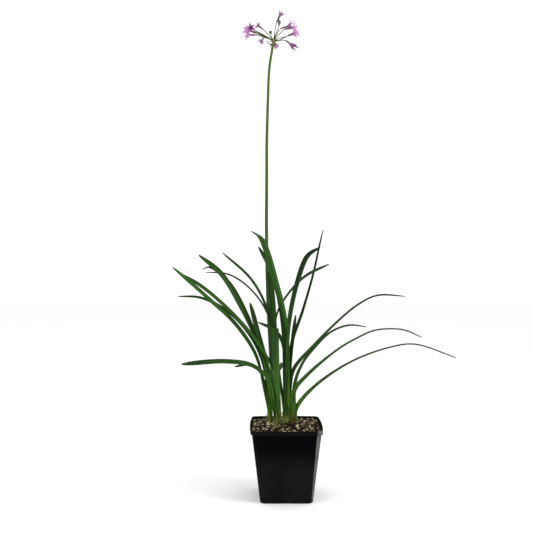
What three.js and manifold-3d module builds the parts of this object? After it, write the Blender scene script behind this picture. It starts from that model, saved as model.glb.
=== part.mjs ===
// Potted society garlic: a square nursery pot filled with gritty mix, a clump of strap-leaved
// shoots and one flower stalk with its umbel of lilac flowers.
// Millimetres, +Z up. The origin is the middle of the pot's underside, on the ground.
// +X is to the viewer's right and +Y points away from the viewer.

import * as THREE from 'three';
import { mergeVertices } from 'three/addons/utils/BufferGeometryUtils.js';
import Module from 'manifold-3d';

const wasm = await Module();
wasm.setup();

// Gap kept between two pieces that touch on the real plant
const seatGap = 0.3;

// Pot
const potHeight = 107;
const potWall = 1.4;
const potFloor = 3;
const baseHalf = 38.3;
const bodyTopHalf = 50.8;
const bodyTopBow = 1.4;
const rimHalf = 51.9;
const rimBow = 1.9;
const rimBand = 6.5;
const rimChamfer = 0.6;
const cornerRadius = 8;
const cornerSteps = 4;
const sideSteps = 4;
const channelDepth = 1;
const channelWidth = 14;
const centrePadRadius = 11;
const drainRadius = 4.5;
const drainDistance = 24;

// Potting mix, which rises a little from the walls to the middle
const mixEdgeHeight = 101.6;
const mixRise = 3.4;
const stoneSpacing = 12.2;
const stoneRadius = [5, 6.8];
const stoneFlatness = 0.68;
const stoneJitter = 2.2;
const shootClearance = 6.5;

// Shoots: where each stands in the mix, and how thick its sheathed foot is
const sheathRadius = 4.1;
const sheathRise = 34;
const rootDepth = 14;
const shootFeet = {
  left: [-24, 17],
  front_left: [-13, 4],
  middle: [-0.5, 9.5],
  right: [7, 20],
  front_right: [13.5, 9],
  back: [4, 34],
};

// Leaves, shoot by shoot. lean is the compass angle of the plane that the leaf arches in, with
// 0 to the right and 90 away from the viewer. turn is how far the blade twists about its own
// length at the foot, halfway and at the tip. path is a few points on the midrib: distance out
// from the shoot's middle, and height over the ground. A cut leaf has no pointed tip.
const leaves = [
  { shoot: 'left', lean: 197, width: 6.7, turn: [-25, -60, -55],
    path: [[8.2, 147], [22.5, 207.5], [55, 256.2], [92, 291], [147.5, 339.5]] },
  { shoot: 'left', lean: 157, width: 5.2, turn: [-8, -32, -38],
    path: [[8, 181], [23, 220], [48, 252], [78, 275], [118, 291], [159, 293]] },
  { shoot: 'left', lean: 187, width: 8.8, turn: [-20, -54, -60],
    path: [[3, 172], [19, 228], [48, 288], [74, 330], [107, 358]] },
  { shoot: 'left', lean: 148, width: 5.6, turn: [0, -28, -35],
    path: [[7, 191], [25, 234], [73.9, 313.5], [113.9, 339.4], [127, 336]] },
  { shoot: 'left', lean: 194, width: 4.8, turn: [-10, -42, -50],
    path: [[9, 166], [18, 184], [31, 193], [54, 191]] },

  { shoot: 'front_left', lean: 186, width: 6.1, turn: [-25, -38, -58],
    path: [[2, 160], [8, 189], [30, 228], [67.4, 271.6], [111, 310.2], [139.5, 328.8]] },
  { shoot: 'front_left', lean: 172, width: 7.2, turn: [-50, -62, -65],
    path: [[8, 153], [18, 201], [31, 248], [41, 286]] },
  { shoot: 'front_left', lean: 193, width: 7.3, turn: [-30, -50, -60],
    path: [[4, 140], [10, 167], [37, 193], [78, 201], [143, 199]] },
  { shoot: 'front_left', lean: 215, width: 8.4, turn: [8, 19, 22],
    path: [[0, 171], [4, 216], [10, 299], [16, 333]] },
  { shoot: 'front_left', lean: 255, width: 10, turn: [0, 0, 0], cut: true,
    path: [[2, 150], [7, 200], [11, 249.5]] },
  { shoot: 'front_left', lean: 32, width: 4.6, turn: [-50, -44, -75],
    path: [[-3, 179], [-5, 238], [2, 273], [18.5, 296.5], [51, 325], [96.7, 344.5]] },
  { shoot: 'front_left', lean: 165, width: 4.4, turn: [0, -8, -10],
    path: [[3, 201], [15, 268], [42, 306], [76, 328], [113, 332]] },

  { shoot: 'middle', lean: 240, width: 9.6, turn: [0, -8, -14],
    path: [[-3, 200], [4, 257], [14, 284.5], [28, 312], [56, 361], [73, 380.5], [98, 389.5]] },
  { shoot: 'middle', lean: 150, width: 5.8, turn: [-20, -48, -55],
    path: [[1, 162], [3, 245], [13, 302], [28, 342], [47, 371]] },
  { shoot: 'middle', lean: 330, width: 7.3, turn: [0, -16, -52],
    path: [[2, 170], [7, 255], [18.5, 309.5], [33.7, 351], [40.6, 359.3], [57.5, 369]] },
  { shoot: 'middle', lean: 148, width: 4.6, turn: [-15, -12, -42],
    path: [[10, 172], [30, 268], [59, 318], [116, 363]] },

  { shoot: 'right', lean: 162, width: 5.6, turn: [-10, -42, -50],
    path: [[5, 176], [14, 229], [25, 243], [51, 255]] },
  { shoot: 'right', lean: 35, width: 5.2, turn: [20, 6, -26],
    path: [[0, 169], [3, 221], [26, 274], [46, 328], [65, 398]] },
  { shoot: 'right', lean: 18, width: 6.3, turn: [-105, -56, -6],
    path: [[-1, 153], [6.5, 185.5], [37, 217], [78, 254], [113, 280], [145, 294], [196, 293]] },
  { shoot: 'right', lean: 60, width: 5.2, turn: [0, 16, 20],
    path: [[-1, 184], [8, 230], [18, 266]] },

  { shoot: 'front_right', lean: 335, width: 5.4, turn: [-60, -24, -16],
    path: [[0, 163], [12, 194], [30, 217], [58, 244], [86, 255], [111, 254]] },
  { shoot: 'front_right', lean: 352, width: 6.1, turn: [-85, -30, 6],
    path: [[-1, 153], [17.3, 176.2], [64.7, 216.5], [89.4, 231.8], [120, 246], [159, 247.5],
      [187, 237]] },
  { shoot: 'front_right', lean: 344, width: 5.4, turn: [65, 18, -14],
    path: [[3, 127], [28.7, 160], [85, 200], [141, 223], [177, 229], [234, 212]] },

  { shoot: 'back', lean: 91, width: 7.2, turn: [0, 11, 14],
    path: [[8, 160], [26, 205], [60, 231], [104, 228], [138, 204]] },
  { shoot: 'back', lean: 87, width: 6.4, turn: [0, -16, -20],
    path: [[9, 150], [32, 186], [70, 201], [118, 182]] },
  { shoot: 'back', lean: 97, width: 6, turn: [0, 14, 18],
    path: [[8, 140], [24, 168], [56, 184], [92, 168]] },
  { shoot: 'back', lean: 108, width: 5, turn: [0, 8, 10],
    path: [[4, 130], [10, 150], [20, 160]] },
];
const leafSteps = 11;
const leafTipStart = 0.86;
const leafTipWidth = 0.16;
const leafThickness = [1.3, 0.8];
const leafChannel = 0.13;

// Flower stalk: height over the ground, and how far it stands off its foot to the side
const stalkFoot = [-13, 14.8];
const stalkPath = [[-4, 150], [-7.6, 184], [-10.3, 225], [-14, 300], [-16, 400], [-15.7, 460],
  [-15.5, 530], [-13.9, 590], [-11.7, 640], [-5.5, 681]];
const stalkRadius = [3.4, 1.95];
const stalkSides = 8;
const stalkSteps = 22;
const headRadius = 3;
const pedicelRadius = 0.7;
const pedicelSides = 5;
const pedicelSteps = 5;
const pedicelLift = 0.05;
const pedicelBend = 0.14;

// Flowers of the umbel. foot is the end of the flower's pedicel, measured from the middle of
// the head; aim is the way that its tube points; open is how far the petals spread, in degrees;
// lift, where it isn't the usual one, is how steeply the pedicel leaves the head.
const flowers = [
  { foot: [-30.7, 4, 16], aim: [-0.97, 0.11, 0.2], tube: 9.4, petal: 8.5, open: 62 },
  { foot: [-32.5, -12, 14.6], aim: [-0.15, -0.98, -0.16], tube: 7.2, petal: 5.5, open: 84 },
  { foot: [-26.8, -9, 6.3], aim: [-0.99, -0.11, -0.03], tube: 9.3, petal: 9, open: 52 },
  { foot: [-16.7, 9, 21.3], aim: [-0.75, 0.2, 0.63], tube: 8, petal: 5, open: 78 },
  { foot: [5, -2, 28.2], aim: [0.46, -0.1, 0.88], tube: 10.5, petal: 6.5, open: 44 },
  { foot: [12.4, 14, 23.8], aim: [0.87, 0.3, 0.38], tube: 12.6, petal: 7, open: 58 },
  { foot: [17.9, -3, 17.1], aim: [0.92, -0.38, 0.06], tube: 12, petal: 10.5, open: 66 },
  { foot: [22.6, -13, 4.4], aim: [0.9, -0.36, 0.24], tube: 10, petal: 8, open: 62, lift: -0.16 },
  { foot: [19.1, -8, -2.1], aim: [0.69, -0.32, -0.65], tube: 9.5, petal: 12, open: 26 },
  { foot: [-15.4, -11, 1], aim: [-0.4, -0.3, -0.87], tube: 4.4, petal: 5, open: 52 },
  { foot: [2.5, 9, 0.6], aim: [0.25, 0.77, -0.58], tube: 5.2, petal: 3.8, open: 40 },
  { foot: [24.7, 17, 13.9], aim: [0.71, 0.53, 0.42], tube: 9.4, petal: 6.5, open: 60 },
  { foot: [-28.8, 19, 18.8], aim: [-0.72, 0.5, 0.48], tube: 10, petal: 7, open: 60 },
];
const tubeRadius = [0.9, 1.5, 1.3, 2.1];
const tubeSides = 6;
const petalWidth = 3;
const petalThickness = 0.65;
const petalSteps = 3;

// Seed vessels: one round young one and one longer ripening pod
const youngPod = { foot: [-4.2, -6, 8.4], aim: [-0.07, -0.07, 1], radius: 2.6, length: 4.8 };
const ripePod = { foot: [8.5, 6, 25.8], aim: [0.13, 0.07, 1], radius: 2.5, length: 8 };

// The two halves of the dried spathe: the way each points, and its midrib, out from the collar
// and up from the collar's foot
const bracts = [
  { turn: 182, path: [[0.45, 1.2], [3, 1.6], [5.6, 3], [7.4, 6]] },
  { turn: 348, path: [[0.45, 1.2], [2.6, 1.4], [5, 0.2], [6.6, -2.6]] },
];
const bractHalfWidth = 1.6;

// Colours
const colours = {
  pot: 0x16181a,
  mix: 0x8f8570,
  leaf: 0x3f6b2c,
  stalk: 0x6f9452,
  bract: 0x8a5a3c,
  flower: 0xc39ad0,
  pod: 0x86a05a,
};

// Seeded draws, so that the grit lies the same way each time
let seed = 20711;
function draw(low, high) {
  seed = (seed * 48271) % 2147483647;
  return low + (high - low) * (seed / 2147483647);
}

function mix(from, to, share) {
  return from + (to - from) * share;
}

function radians(degrees) {
  return THREE.MathUtils.degToRad(degrees);
}

// A closed skin through rings of points that all have the same count. The rings run
// counterclockwise as seen from the last one. slanted lists the columns whose squares are
// split along their other diagonal.
function loft(rings, slanted = []) {
  const count = rings[0].length;
  const positions = rings.flat().flatMap((point) => [point.x, point.y, point.z]);
  const faces = [];
  for (let ring = 0; ring < rings.length - 1; ring += 1) {
    for (let column = 0; column < count; column += 1) {
      const a = ring * count + column;
      const b = ring * count + (column + 1) % count;
      const c = b + count;
      const d = a + count;
      if (slanted.includes(column)) {
        faces.push(a, b, d, b, c, d);
      } else {
        faces.push(a, b, c, a, c, d);
      }
    }
  }
  const last = (rings.length - 1) * count;
  for (let corner = 1; corner < count - 1; corner += 1) {
    faces.push(0, corner + 1, corner);
    faces.push(last, last + corner, last + corner + 1);
  }
  const geometry = new THREE.BufferGeometry();
  geometry.setAttribute('position', new THREE.Float32BufferAttribute(positions, 3));
  geometry.setIndex(faces);
  return geometry;
}

// Closed mesh to solid and back, for joining and cutting
function solidOf(geometry) {
  const bare = geometry.clone();
  bare.deleteAttribute('normal');
  bare.deleteAttribute('uv');
  const merged = mergeVertices(bare, 1e-4);
  return new wasm.Manifold(new wasm.Mesh({
    numProp: 3,
    vertProperties: new Float32Array(merged.attributes.position.array),
    triVerts: new Uint32Array(merged.index.array),
  }));
}

function geometryOf(solid) {
  const mesh = solid.getMesh();
  const geometry = new THREE.BufferGeometry();
  geometry.setAttribute('position', new THREE.Float32BufferAttribute(mesh.vertProperties, 3));
  geometry.setIndex(Array.from(mesh.triVerts));
  return geometry;
}

function joined(geometries) {
  return geometries.map(solidOf).reduce((whole, piece) => whole.add(piece));
}

// One body out of a joined solid: closed-in hollows are filled and loose scraps dropped
function oneBody(solid) {
  const bodies = solid.decompose().sort((a, b) => b.volume() - a.volume());
  return geometryOf(bodies[0]);
}

// Pot

// One level outline of the pot: a square with round corners whose sides bow out
function potOutline(half, bow, z, corner = cornerRadius) {
  const straight = half - corner;
  const quarter = [];
  for (let step = 0; step <= cornerSteps; step += 1) {
    const angle = (step / cornerSteps) * Math.PI / 2;
    quarter.push([straight + corner * Math.cos(angle), straight + corner * Math.sin(angle)]);
  }
  for (let step = 1; step < sideSteps; step += 1) {
    const along = 1 - (2 * step) / sideSteps;
    quarter.push([straight * along, half + bow * (1 - along * along)]);
  }
  const outline = [];
  for (let side = 0; side < 4; side += 1) {
    const cos = Math.round(Math.cos(side * Math.PI / 2));
    const sin = Math.round(Math.sin(side * Math.PI / 2));
    for (const [x, y] of quarter) {
      outline.push(new THREE.Vector3(x * cos - y * sin, x * sin + y * cos, z));
    }
  }
  return outline;
}

// Half width and bow of the pot's body at a height
function bodyAt(z) {
  const share = z / potHeight;
  return [mix(baseHalf, bodyTopHalf, share), bodyTopBow * share];
}

// The room inside the pot from a height up to another, drawn in by a margin
function potRoom(low, high, margin) {
  const ledge = potHeight - rimBand + potWall;
  const corner = cornerRadius - potWall;
  const rings = [low, ledge + margin].map((z) => {
    const [half, bow] = bodyAt(z);
    return potOutline(half - potWall - margin, bow, z, corner);
  });
  const rimRoom = rimHalf - potWall - margin;
  rings.push(potOutline(rimRoom, rimBow, ledge + margin + potWall / 2, corner));
  rings.push(potOutline(rimRoom, rimBow, high, corner));
  return loft(rings);
}

function makePot() {
  const bandFoot = potHeight - rimBand;
  const [footHalf, footBow] = bodyAt(0);
  const [neckHalf, neckBow] = bodyAt(bandFoot);
  let pot = solidOf(loft([
    potOutline(footHalf, footBow, 0),
    potOutline(neckHalf, neckBow, bandFoot),
    potOutline(rimHalf, rimBow, bandFoot + rimChamfer),
    potOutline(rimHalf, rimBow, potHeight - rimChamfer),
    potOutline(rimHalf - rimChamfer / 2, rimBow, potHeight),
  ]));
  pot = pot.subtract(solidOf(potRoom(potFloor, potHeight + 5, 0)));

  // Drainage channels cross the underside and stop at a round pad in its middle
  const reach = 2 * baseHalf + 10;
  const lengthways = new THREE.BoxGeometry(reach, channelWidth, 2 * channelDepth);
  const crossways = new THREE.BoxGeometry(channelWidth, reach, 2 * channelDepth);
  const pad = new THREE.CylinderGeometry(centrePadRadius, centrePadRadius, 4 * channelDepth, 16);
  pad.rotateX(Math.PI / 2);
  pot = pot.subtract(joined([lengthways, crossways]).subtract(solidOf(pad)));

  // Drainage holes in the channels
  for (let side = 0; side < 4; side += 1) {
    const hole = new THREE.CylinderGeometry(drainRadius, drainRadius, 4 * potFloor, 12);
    hole.rotateX(Math.PI / 2);
    hole.translate(drainDistance, 0, 0);
    hole.rotateZ(side * Math.PI / 2);
    pot = pot.subtract(solidOf(hole));
  }
  return geometryOf(pot);
}

// Potting mix

function mixHeight(x, y) {
  const share = Math.min(1, Math.max(Math.abs(x), Math.abs(y)) / rimHalf);
  return mixEdgeHeight + mixRise * (1 - share * share);
}

function stone(x, y, radius) {
  const geometry = new THREE.IcosahedronGeometry(radius, 0);
  geometry.scale(1, draw(0.72, 1), draw(stoneFlatness - 0.14, stoneFlatness));
  geometry.rotateX(draw(-0.35, 0.35));
  geometry.rotateY(draw(-0.35, 0.35));
  geometry.rotateZ(draw(0, Math.PI));
  geometry.translate(x, y, mixHeight(x, y) + 0.12 * radius);
  return geometry;
}

function makeMix() {
  const room = solidOf(potRoom(potFloor + seatGap, potHeight + 6, seatGap));
  const levels = [1.02, 0.75, 0.5, 0.25];
  const heap = [potOutline(rimHalf * 1.02, rimBow, 0)];
  for (const level of levels) {
    const half = rimHalf * level;
    const height = mixHeight(half, 0);
    heap.push(potOutline(half, rimBow * level, height, cornerRadius * level));
  }
  const pieces = [loft(heap)];
  const reach = rimHalf - 1;
  const count = Math.floor((2 * reach) / stoneSpacing);
  for (let row = 0; row <= count; row += 1) {
    for (let column = 0; column <= count; column += 1) {
      const x = -reach + stoneSpacing * (column + 0.5 * (row % 2)) + draw(-1, 1) * stoneJitter;
      const y = -reach + stoneSpacing * row + draw(-1, 1) * stoneJitter;
      const radius = draw(stoneRadius[0], stoneRadius[1]);
      const taken = [...Object.values(shootFeet), stalkFoot].some(
        ([footX, footY]) => Math.hypot(x - footX, y - footY) < shootClearance + radius * 0.4,
      );
      if (!taken && Math.abs(x) < reach && Math.abs(y) < reach) {
        pieces.push(stone(x, y, radius));
      }
    }
  }
  let solid = joined(pieces).intersect(room);

  // Plain holes that the shoots and the stalk stand in
  const holes = Object.values(shootFeet).map((foot) => [foot, sheathRadius + seatGap]);
  holes.push([stalkFoot, stalkRadius[0] + seatGap]);
  for (const [[x, y], radius] of holes) {
    const hole = new THREE.CylinderGeometry(radius, radius, 40, 14);
    hole.rotateX(Math.PI / 2);
    hole.translate(x, y, mixEdgeHeight - rootDepth - seatGap + 20);
    solid = solid.subtract(solidOf(hole));
  }
  return oneBody(solid);
}

// Shoots

// A strap blade along a midrib curve, shallowly channelled, with a blunt tip
function blade(curve, sideways, leaf) {
  const rings = [];
  for (let step = 0; step <= leafSteps; step += 1) {
    const along = 1 - (1 - step / leafSteps) ** 1.45;
    const point = curve.getPointAt(along);
    const forward = curve.getTangentAt(along).normalize();
    const upward = new THREE.Vector3().crossVectors(forward, sideways).normalize();
    const [footTurn, halfTurn, tipTurn] = leaf.turn;
    const turn = radians(along < 0.5
      ? mix(footTurn, halfTurn, along * 2)
      : mix(halfTurn, tipTurn, along * 2 - 1));
    const across = sideways.clone().multiplyScalar(Math.cos(turn))
      .addScaledVector(upward, Math.sin(turn));
    const face = new THREE.Vector3().crossVectors(forward, across).normalize();

    const past = Math.max(0, (along - leafTipStart) / (1 - leafTipStart));
    const tip = leaf.cut ? 1 : Math.max(leafTipWidth, Math.sqrt(1 - past ** 2));
    const half = 0.5 * leaf.width * mix(0.74, 1, Math.min(1, along * 3)) * tip;
    const thick = 0.5 * mix(leafThickness[0], leafThickness[1], along);
    const raise = leafChannel * 2 * half;
    const corner = (side, height) => point.clone()
      .addScaledVector(across, side * half)
      .addScaledVector(face, height);
    rings.push([
      corner(0, thick),
      corner(-1, raise + thick),
      corner(-1, raise - thick),
      corner(0, -thick),
      corner(1, raise - thick),
      corner(1, raise + thick),
    ]);
  }
  return loft(rings, [2, 3]);
}

function leafGeometry(leaf) {
  const [footX, footY] = shootFeet[leaf.shoot];
  const angle = radians(leaf.lean);
  const outward = new THREE.Vector3(Math.cos(angle), Math.sin(angle), 0);
  const sideways = new THREE.Vector3(-Math.sin(angle), Math.cos(angle), 0);
  const foot = mixEdgeHeight - rootDepth + 4;
  const points = [[0, foot], [leaf.path[0][0] * 0.1, mixEdgeHeight + 4], ...leaf.path];
  const curve = new THREE.CatmullRomCurve3(points.map(([out, up]) => (
    new THREE.Vector3(footX, footY, up).addScaledVector(outward, out)
  )), false, 'centripetal');
  return blade(curve, sideways, leaf);
}

// The sheathed foot of a shoot, where its leaves wrap each other
function sheathGeometry(shoot) {
  const [x, y] = shootFeet[shoot];
  const bottom = mixEdgeHeight - rootDepth;
  const stages = [
    [sheathRadius * 0.7, bottom],
    [sheathRadius, bottom + 4],
    [sheathRadius, mixEdgeHeight + 5],
    [sheathRadius * 0.8, mixEdgeHeight + sheathRise * 0.55],
    [sheathRadius * 0.45, mixEdgeHeight + sheathRise],
  ];
  const rings = stages.map(([radius, z]) => {
    const ring = [];
    for (let side = 0; side < 8; side += 1) {
      const angle = (side / 8) * 2 * Math.PI;
      ring.push(new THREE.Vector3(x + radius * Math.cos(angle), y + radius * Math.sin(angle), z));
    }
    return ring;
  });
  return loft(rings);
}

function makeShoot(shoot) {
  const blades = leaves.filter((leaf) => leaf.shoot === shoot).map(leafGeometry);
  return oneBody(joined([sheathGeometry(shoot), ...blades]));
}

// Flower stalk and head

// A round rod along a curve, thinner or thicker from start to end
function rod(curve, radiusAt, sides, steps) {
  const frames = curve.computeFrenetFrames(steps, false);
  const rings = [];
  for (let step = 0; step <= steps; step += 1) {
    const along = step / steps;
    const point = curve.getPointAt(along);
    const ring = [];
    for (let side = 0; side < sides; side += 1) {
      const angle = (side / sides) * 2 * Math.PI;
      ring.push(point.clone()
        .addScaledVector(frames.normals[step], radiusAt(along) * Math.cos(angle))
        .addScaledVector(frames.binormals[step], radiusAt(along) * Math.sin(angle)));
    }
    rings.push(ring);
  }
  return loft(rings);
}

const stalkTop = stalkPath[stalkPath.length - 1];
const headMiddle = new THREE.Vector3(stalkFoot[0] + stalkTop[0], stalkFoot[1], stalkTop[1] + 1);

function stalkCurve() {
  const [x, y] = stalkFoot;
  const start = new THREE.Vector3(x, y, mixEdgeHeight - rootDepth);
  const rise = new THREE.Vector3(x, y, mixEdgeHeight + 8);
  const rest = stalkPath.map(([side, up]) => new THREE.Vector3(x + side, y, up));
  return new THREE.CatmullRomCurve3([start, rise, ...rest], false, 'centripetal');
}

// A flower's stem leaves the head steeply and ends in line with what it carries
function pedicelCurve({ foot, aim, lift = pedicelLift }) {
  const end = new THREE.Vector3(...foot);
  const reach = end.length();
  const launch = end.clone().multiplyScalar(0.3).add(new THREE.Vector3(0, 0, reach * lift));
  const arrive = end.clone().addScaledVector(new THREE.Vector3(...aim).normalize(), -reach * pedicelBend);
  return new THREE.CubicBezierCurve3(
    launch.clone().setLength(headRadius * 0.6).add(headMiddle),
    launch.add(headMiddle),
    arrive.add(headMiddle),
    end.add(headMiddle),
  );
}

function makeStalk() {
  const stem = rod(stalkCurve(), (along) => mix(stalkRadius[0], stalkRadius[1], along),
    stalkSides, stalkSteps);
  const head = new THREE.SphereGeometry(headRadius, 8, 6);
  head.translate(...headMiddle.toArray());
  const pedicels = [...flowers, youngPod, ripePod].map((carried) => (
    rod(pedicelCurve(carried), () => pedicelRadius, pedicelSides, pedicelSteps)
  ));
  return oneBody(joined([stem, head, ...pedicels]));
}

// The dried spathe: a collar under the head with two curled bracts
function makeSpathe() {
  const inner = stalkRadius[1] + 0.25 + seatGap;
  const outer = inner + 0.9;
  const collarFoot = headMiddle.z - headRadius - seatGap - 3.2;
  const collarTop = collarFoot + 2.4;
  const profile = [[inner, collarFoot], [outer, collarFoot], [outer, collarTop], [inner, collarTop]];
  profile.push(profile[0]);
  const collar = new THREE.LatheGeometry(profile.map(([r, z]) => new THREE.Vector2(r, z)), 10);
  collar.rotateX(Math.PI / 2);
  const lean = stalkCurve().getPointAt(0.992);
  collar.translate(lean.x, lean.y, 0);

  const blades = bracts.map(({ turn, path }) => {
    const angle = radians(turn);
    const outward = new THREE.Vector3(Math.cos(angle), Math.sin(angle), 0);
    const sideways = new THREE.Vector3(-Math.sin(angle), Math.cos(angle), 0);
    const curve = new THREE.CatmullRomCurve3(path.map(([out, up]) => (
      new THREE.Vector3(lean.x, lean.y, collarFoot + up).addScaledVector(outward, inner + out)
    )));
    const rings = [0, 0.3, 0.6, 0.85, 1].map((along) => {
      const point = curve.getPointAt(along);
      const forward = curve.getTangentAt(along).normalize();
      const face = new THREE.Vector3().crossVectors(forward, sideways).normalize();
      const half = bractHalfWidth * Math.sin(Math.PI * mix(0.3, 0.94, along));
      const corner = (side, height) => point.clone()
        .addScaledVector(sideways, side * half).addScaledVector(face, height);
      return [corner(0, 0.35), corner(-1, 0.8), corner(-1, 0.1), corner(0, -0.35),
        corner(1, 0.1), corner(1, 0.8)];
    });
    return loft(rings, [2, 3]);
  });
  return oneBody(joined([collar, ...blades]));
}

// Turns a shape that stands on the origin along +Z to point along aim from a foot
function aimed(geometry, foot, aim) {
  const direction = new THREE.Vector3(...aim).normalize();
  const turn = new THREE.Quaternion().setFromUnitVectors(new THREE.Vector3(0, 0, 1), direction);
  geometry.applyQuaternion(turn);
  const place = new THREE.Vector3(...foot).add(headMiddle).addScaledVector(direction, seatGap);
  geometry.translate(place.x, place.y, place.z);
  return geometry;
}

function makeFlower({ foot, aim, tube, petal, open }) {
  const stages = [0, 0.22, 0.72, 1].map((share, index) => [tubeRadius[index], share * tube]);
  const rings = stages.map(([radius, z]) => {
    const ring = [];
    for (let side = 0; side < tubeSides; side += 1) {
      const angle = (side / tubeSides) * 2 * Math.PI;
      ring.push(new THREE.Vector3(radius * Math.cos(angle), radius * Math.sin(angle), z));
    }
    return ring;
  });
  const pieces = [loft(rings)];

  for (let index = 0; index < 6; index += 1) {
    const angle = (index / 6) * 2 * Math.PI + Math.PI / 6;
    const outward = new THREE.Vector3(Math.cos(angle), Math.sin(angle), 0);
    const sideways = new THREE.Vector3(-Math.sin(angle), Math.cos(angle), 0);
    const upward = new THREE.Vector3(0, 0, 1);
    const inner = index % 2 === 0 ? 0.9 : 1;
    const lean = radians(open);
    const start = outward.clone().multiplyScalar(1.25).addScaledVector(upward, tube - 1.2);
    const mouth = outward.clone().multiplyScalar(tubeRadius[3]).addScaledVector(upward, tube + 0.6);
    const end = mouth.clone()
      .addScaledVector(outward, petal * inner * Math.sin(lean))
      .addScaledVector(upward, petal * inner * Math.cos(lean));
    const curve = new THREE.QuadraticBezierCurve3(start, mouth, end);
    const petalRings = [];
    for (let step = 0; step <= petalSteps; step += 1) {
      const along = step / petalSteps;
      const point = curve.getPointAt(along);
      const forward = curve.getTangentAt(along).normalize();
      const face = new THREE.Vector3().crossVectors(forward, sideways).normalize();
      const half = 0.5 * petalWidth * Math.sin(Math.PI * mix(0.1, 0.93, along));
      const thick = 0.5 * petalThickness;
      const corner = (side, height) => point.clone()
        .addScaledVector(sideways, side * half).addScaledVector(face, height);
      petalRings.push([corner(-1, thick), corner(-1, -thick), corner(1, -thick), corner(1, thick)]);
    }
    pieces.push(loft(petalRings, [1]));
  }
  return oneBody(joined(pieces.map((piece) => aimed(piece, foot, aim))));
}

function makePod({ foot, aim, radius, length }) {
  const profile = [[0, 0], [0.8, 0], [radius * 0.8, length * 0.25], [radius, length * 0.5],
    [radius * 0.75, length * 0.8], [0.5, length], [0, length]];
  const pod = new THREE.LatheGeometry(profile.map(([r, z]) => new THREE.Vector2(r, z)), 9);
  pod.rotateX(Math.PI / 2);
  return geometryOf(solidOf(aimed(pod, foot, aim)));
}

// Assembly

const plant = new THREE.Group();

function add(name, geometry, colour, roughness) {
  const material = new THREE.MeshStandardMaterial({ color: colour, roughness, metalness: 0 });
  const mesh = new THREE.Mesh(geometry, material);
  mesh.name = name;
  plant.add(mesh);
}

add('pot', makePot(), colours.pot, 0.4);
add('potting_mix', makeMix(), colours.mix, 0.95);
for (const shoot of Object.keys(shootFeet)) {
  add(`shoot_${shoot}`, makeShoot(shoot), colours.leaf, 0.5);
}
add('flower_stalk', makeStalk(), colours.stalk, 0.5);
add('spathe_bracts', makeSpathe(), colours.bract, 0.8);
flowers.forEach((flower, index) => {
  add(`flower_${String(index + 1).padStart(2, '0')}`, makeFlower(flower), colours.flower, 0.6);
});
add('seed_pod_young', makePod(youngPod), colours.pod, 0.5);
add('seed_pod_ripe', makePod(ripePod), colours.pod, 0.5);

export default plant;
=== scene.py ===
import math
import random

import bmesh
import bpy
from mathutils import Matrix, Vector, noise


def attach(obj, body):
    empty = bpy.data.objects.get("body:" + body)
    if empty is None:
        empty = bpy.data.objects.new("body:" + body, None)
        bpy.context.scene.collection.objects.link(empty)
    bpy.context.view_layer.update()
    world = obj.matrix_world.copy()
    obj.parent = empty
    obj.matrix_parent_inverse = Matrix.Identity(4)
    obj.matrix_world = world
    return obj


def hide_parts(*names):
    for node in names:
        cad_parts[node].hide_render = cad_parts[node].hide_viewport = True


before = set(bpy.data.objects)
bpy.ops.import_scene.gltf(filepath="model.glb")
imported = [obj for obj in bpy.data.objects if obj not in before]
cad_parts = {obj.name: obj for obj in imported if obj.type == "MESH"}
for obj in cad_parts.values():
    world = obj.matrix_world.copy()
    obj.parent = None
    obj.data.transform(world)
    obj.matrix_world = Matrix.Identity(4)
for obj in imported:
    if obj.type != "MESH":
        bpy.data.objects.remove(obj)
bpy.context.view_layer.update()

mm = 0.001


# Small tools

def makeActive(piece):
    bpy.ops.object.select_all(action="DESELECT")
    piece.select_set(True)
    bpy.context.view_layer.objects.active = piece


def mix(low, high, share):
    return low + (high - low) * share


def clamp(value):
    return max(0.0, min(1.0, value))


def raised(height):
    return Vector((0, 0, height))


# Level directions at an angle: outward, and sideways from it
def headings(angle):
    x, y = math.cos(angle), math.sin(angle)
    return Vector((x, y, 0)), Vector((-y, x, 0))


# Rows of a table as dictionaries: a value for each field, then a dictionary of what few rows have
def readRows(fields, rows):
    return [dict(zip(fields, row), **(row[len(fields)] if len(row) > len(fields) else {})) for row in rows]


def addModifier(piece, kind, **values):
    makeActive(piece)
    modifier = piece.modifiers.new(kind.title(), kind)
    for name, value in values.items():
        setattr(modifier, name, value)
    bpy.ops.object.modifier_apply(modifier=modifier.name)


def applyPlace(piece):
    makeActive(piece)
    bpy.ops.object.transform_apply(location=True, rotation=True, scale=True)


def joinPieces(pieces, name):
    makeActive(pieces[0])
    for piece in pieces:
        piece.select_set(True)
    bpy.ops.object.join()
    joined = bpy.context.object
    joined.name = name
    joined.data.name = name
    return joined


def setTones(piece, **tones):
    for name, value in tones.items():
        attribute = piece.data.attributes.new(name, "FLOAT", "POINT")
        attribute.data.foreach_set("value", [value] * len(piece.data.vertices))


# Smooth shading up to an angle, the material, the root body, and the solid that the piece stands for is
# hidden
def dress(piece, node, material, smoothAngle):
    makeActive(piece)
    bpy.ops.object.shade_smooth_by_angle(angle=math.radians(smoothAngle))
    piece.data.materials.clear()
    piece.data.materials.append(material)
    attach(piece, "root")
    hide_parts(node)


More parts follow.
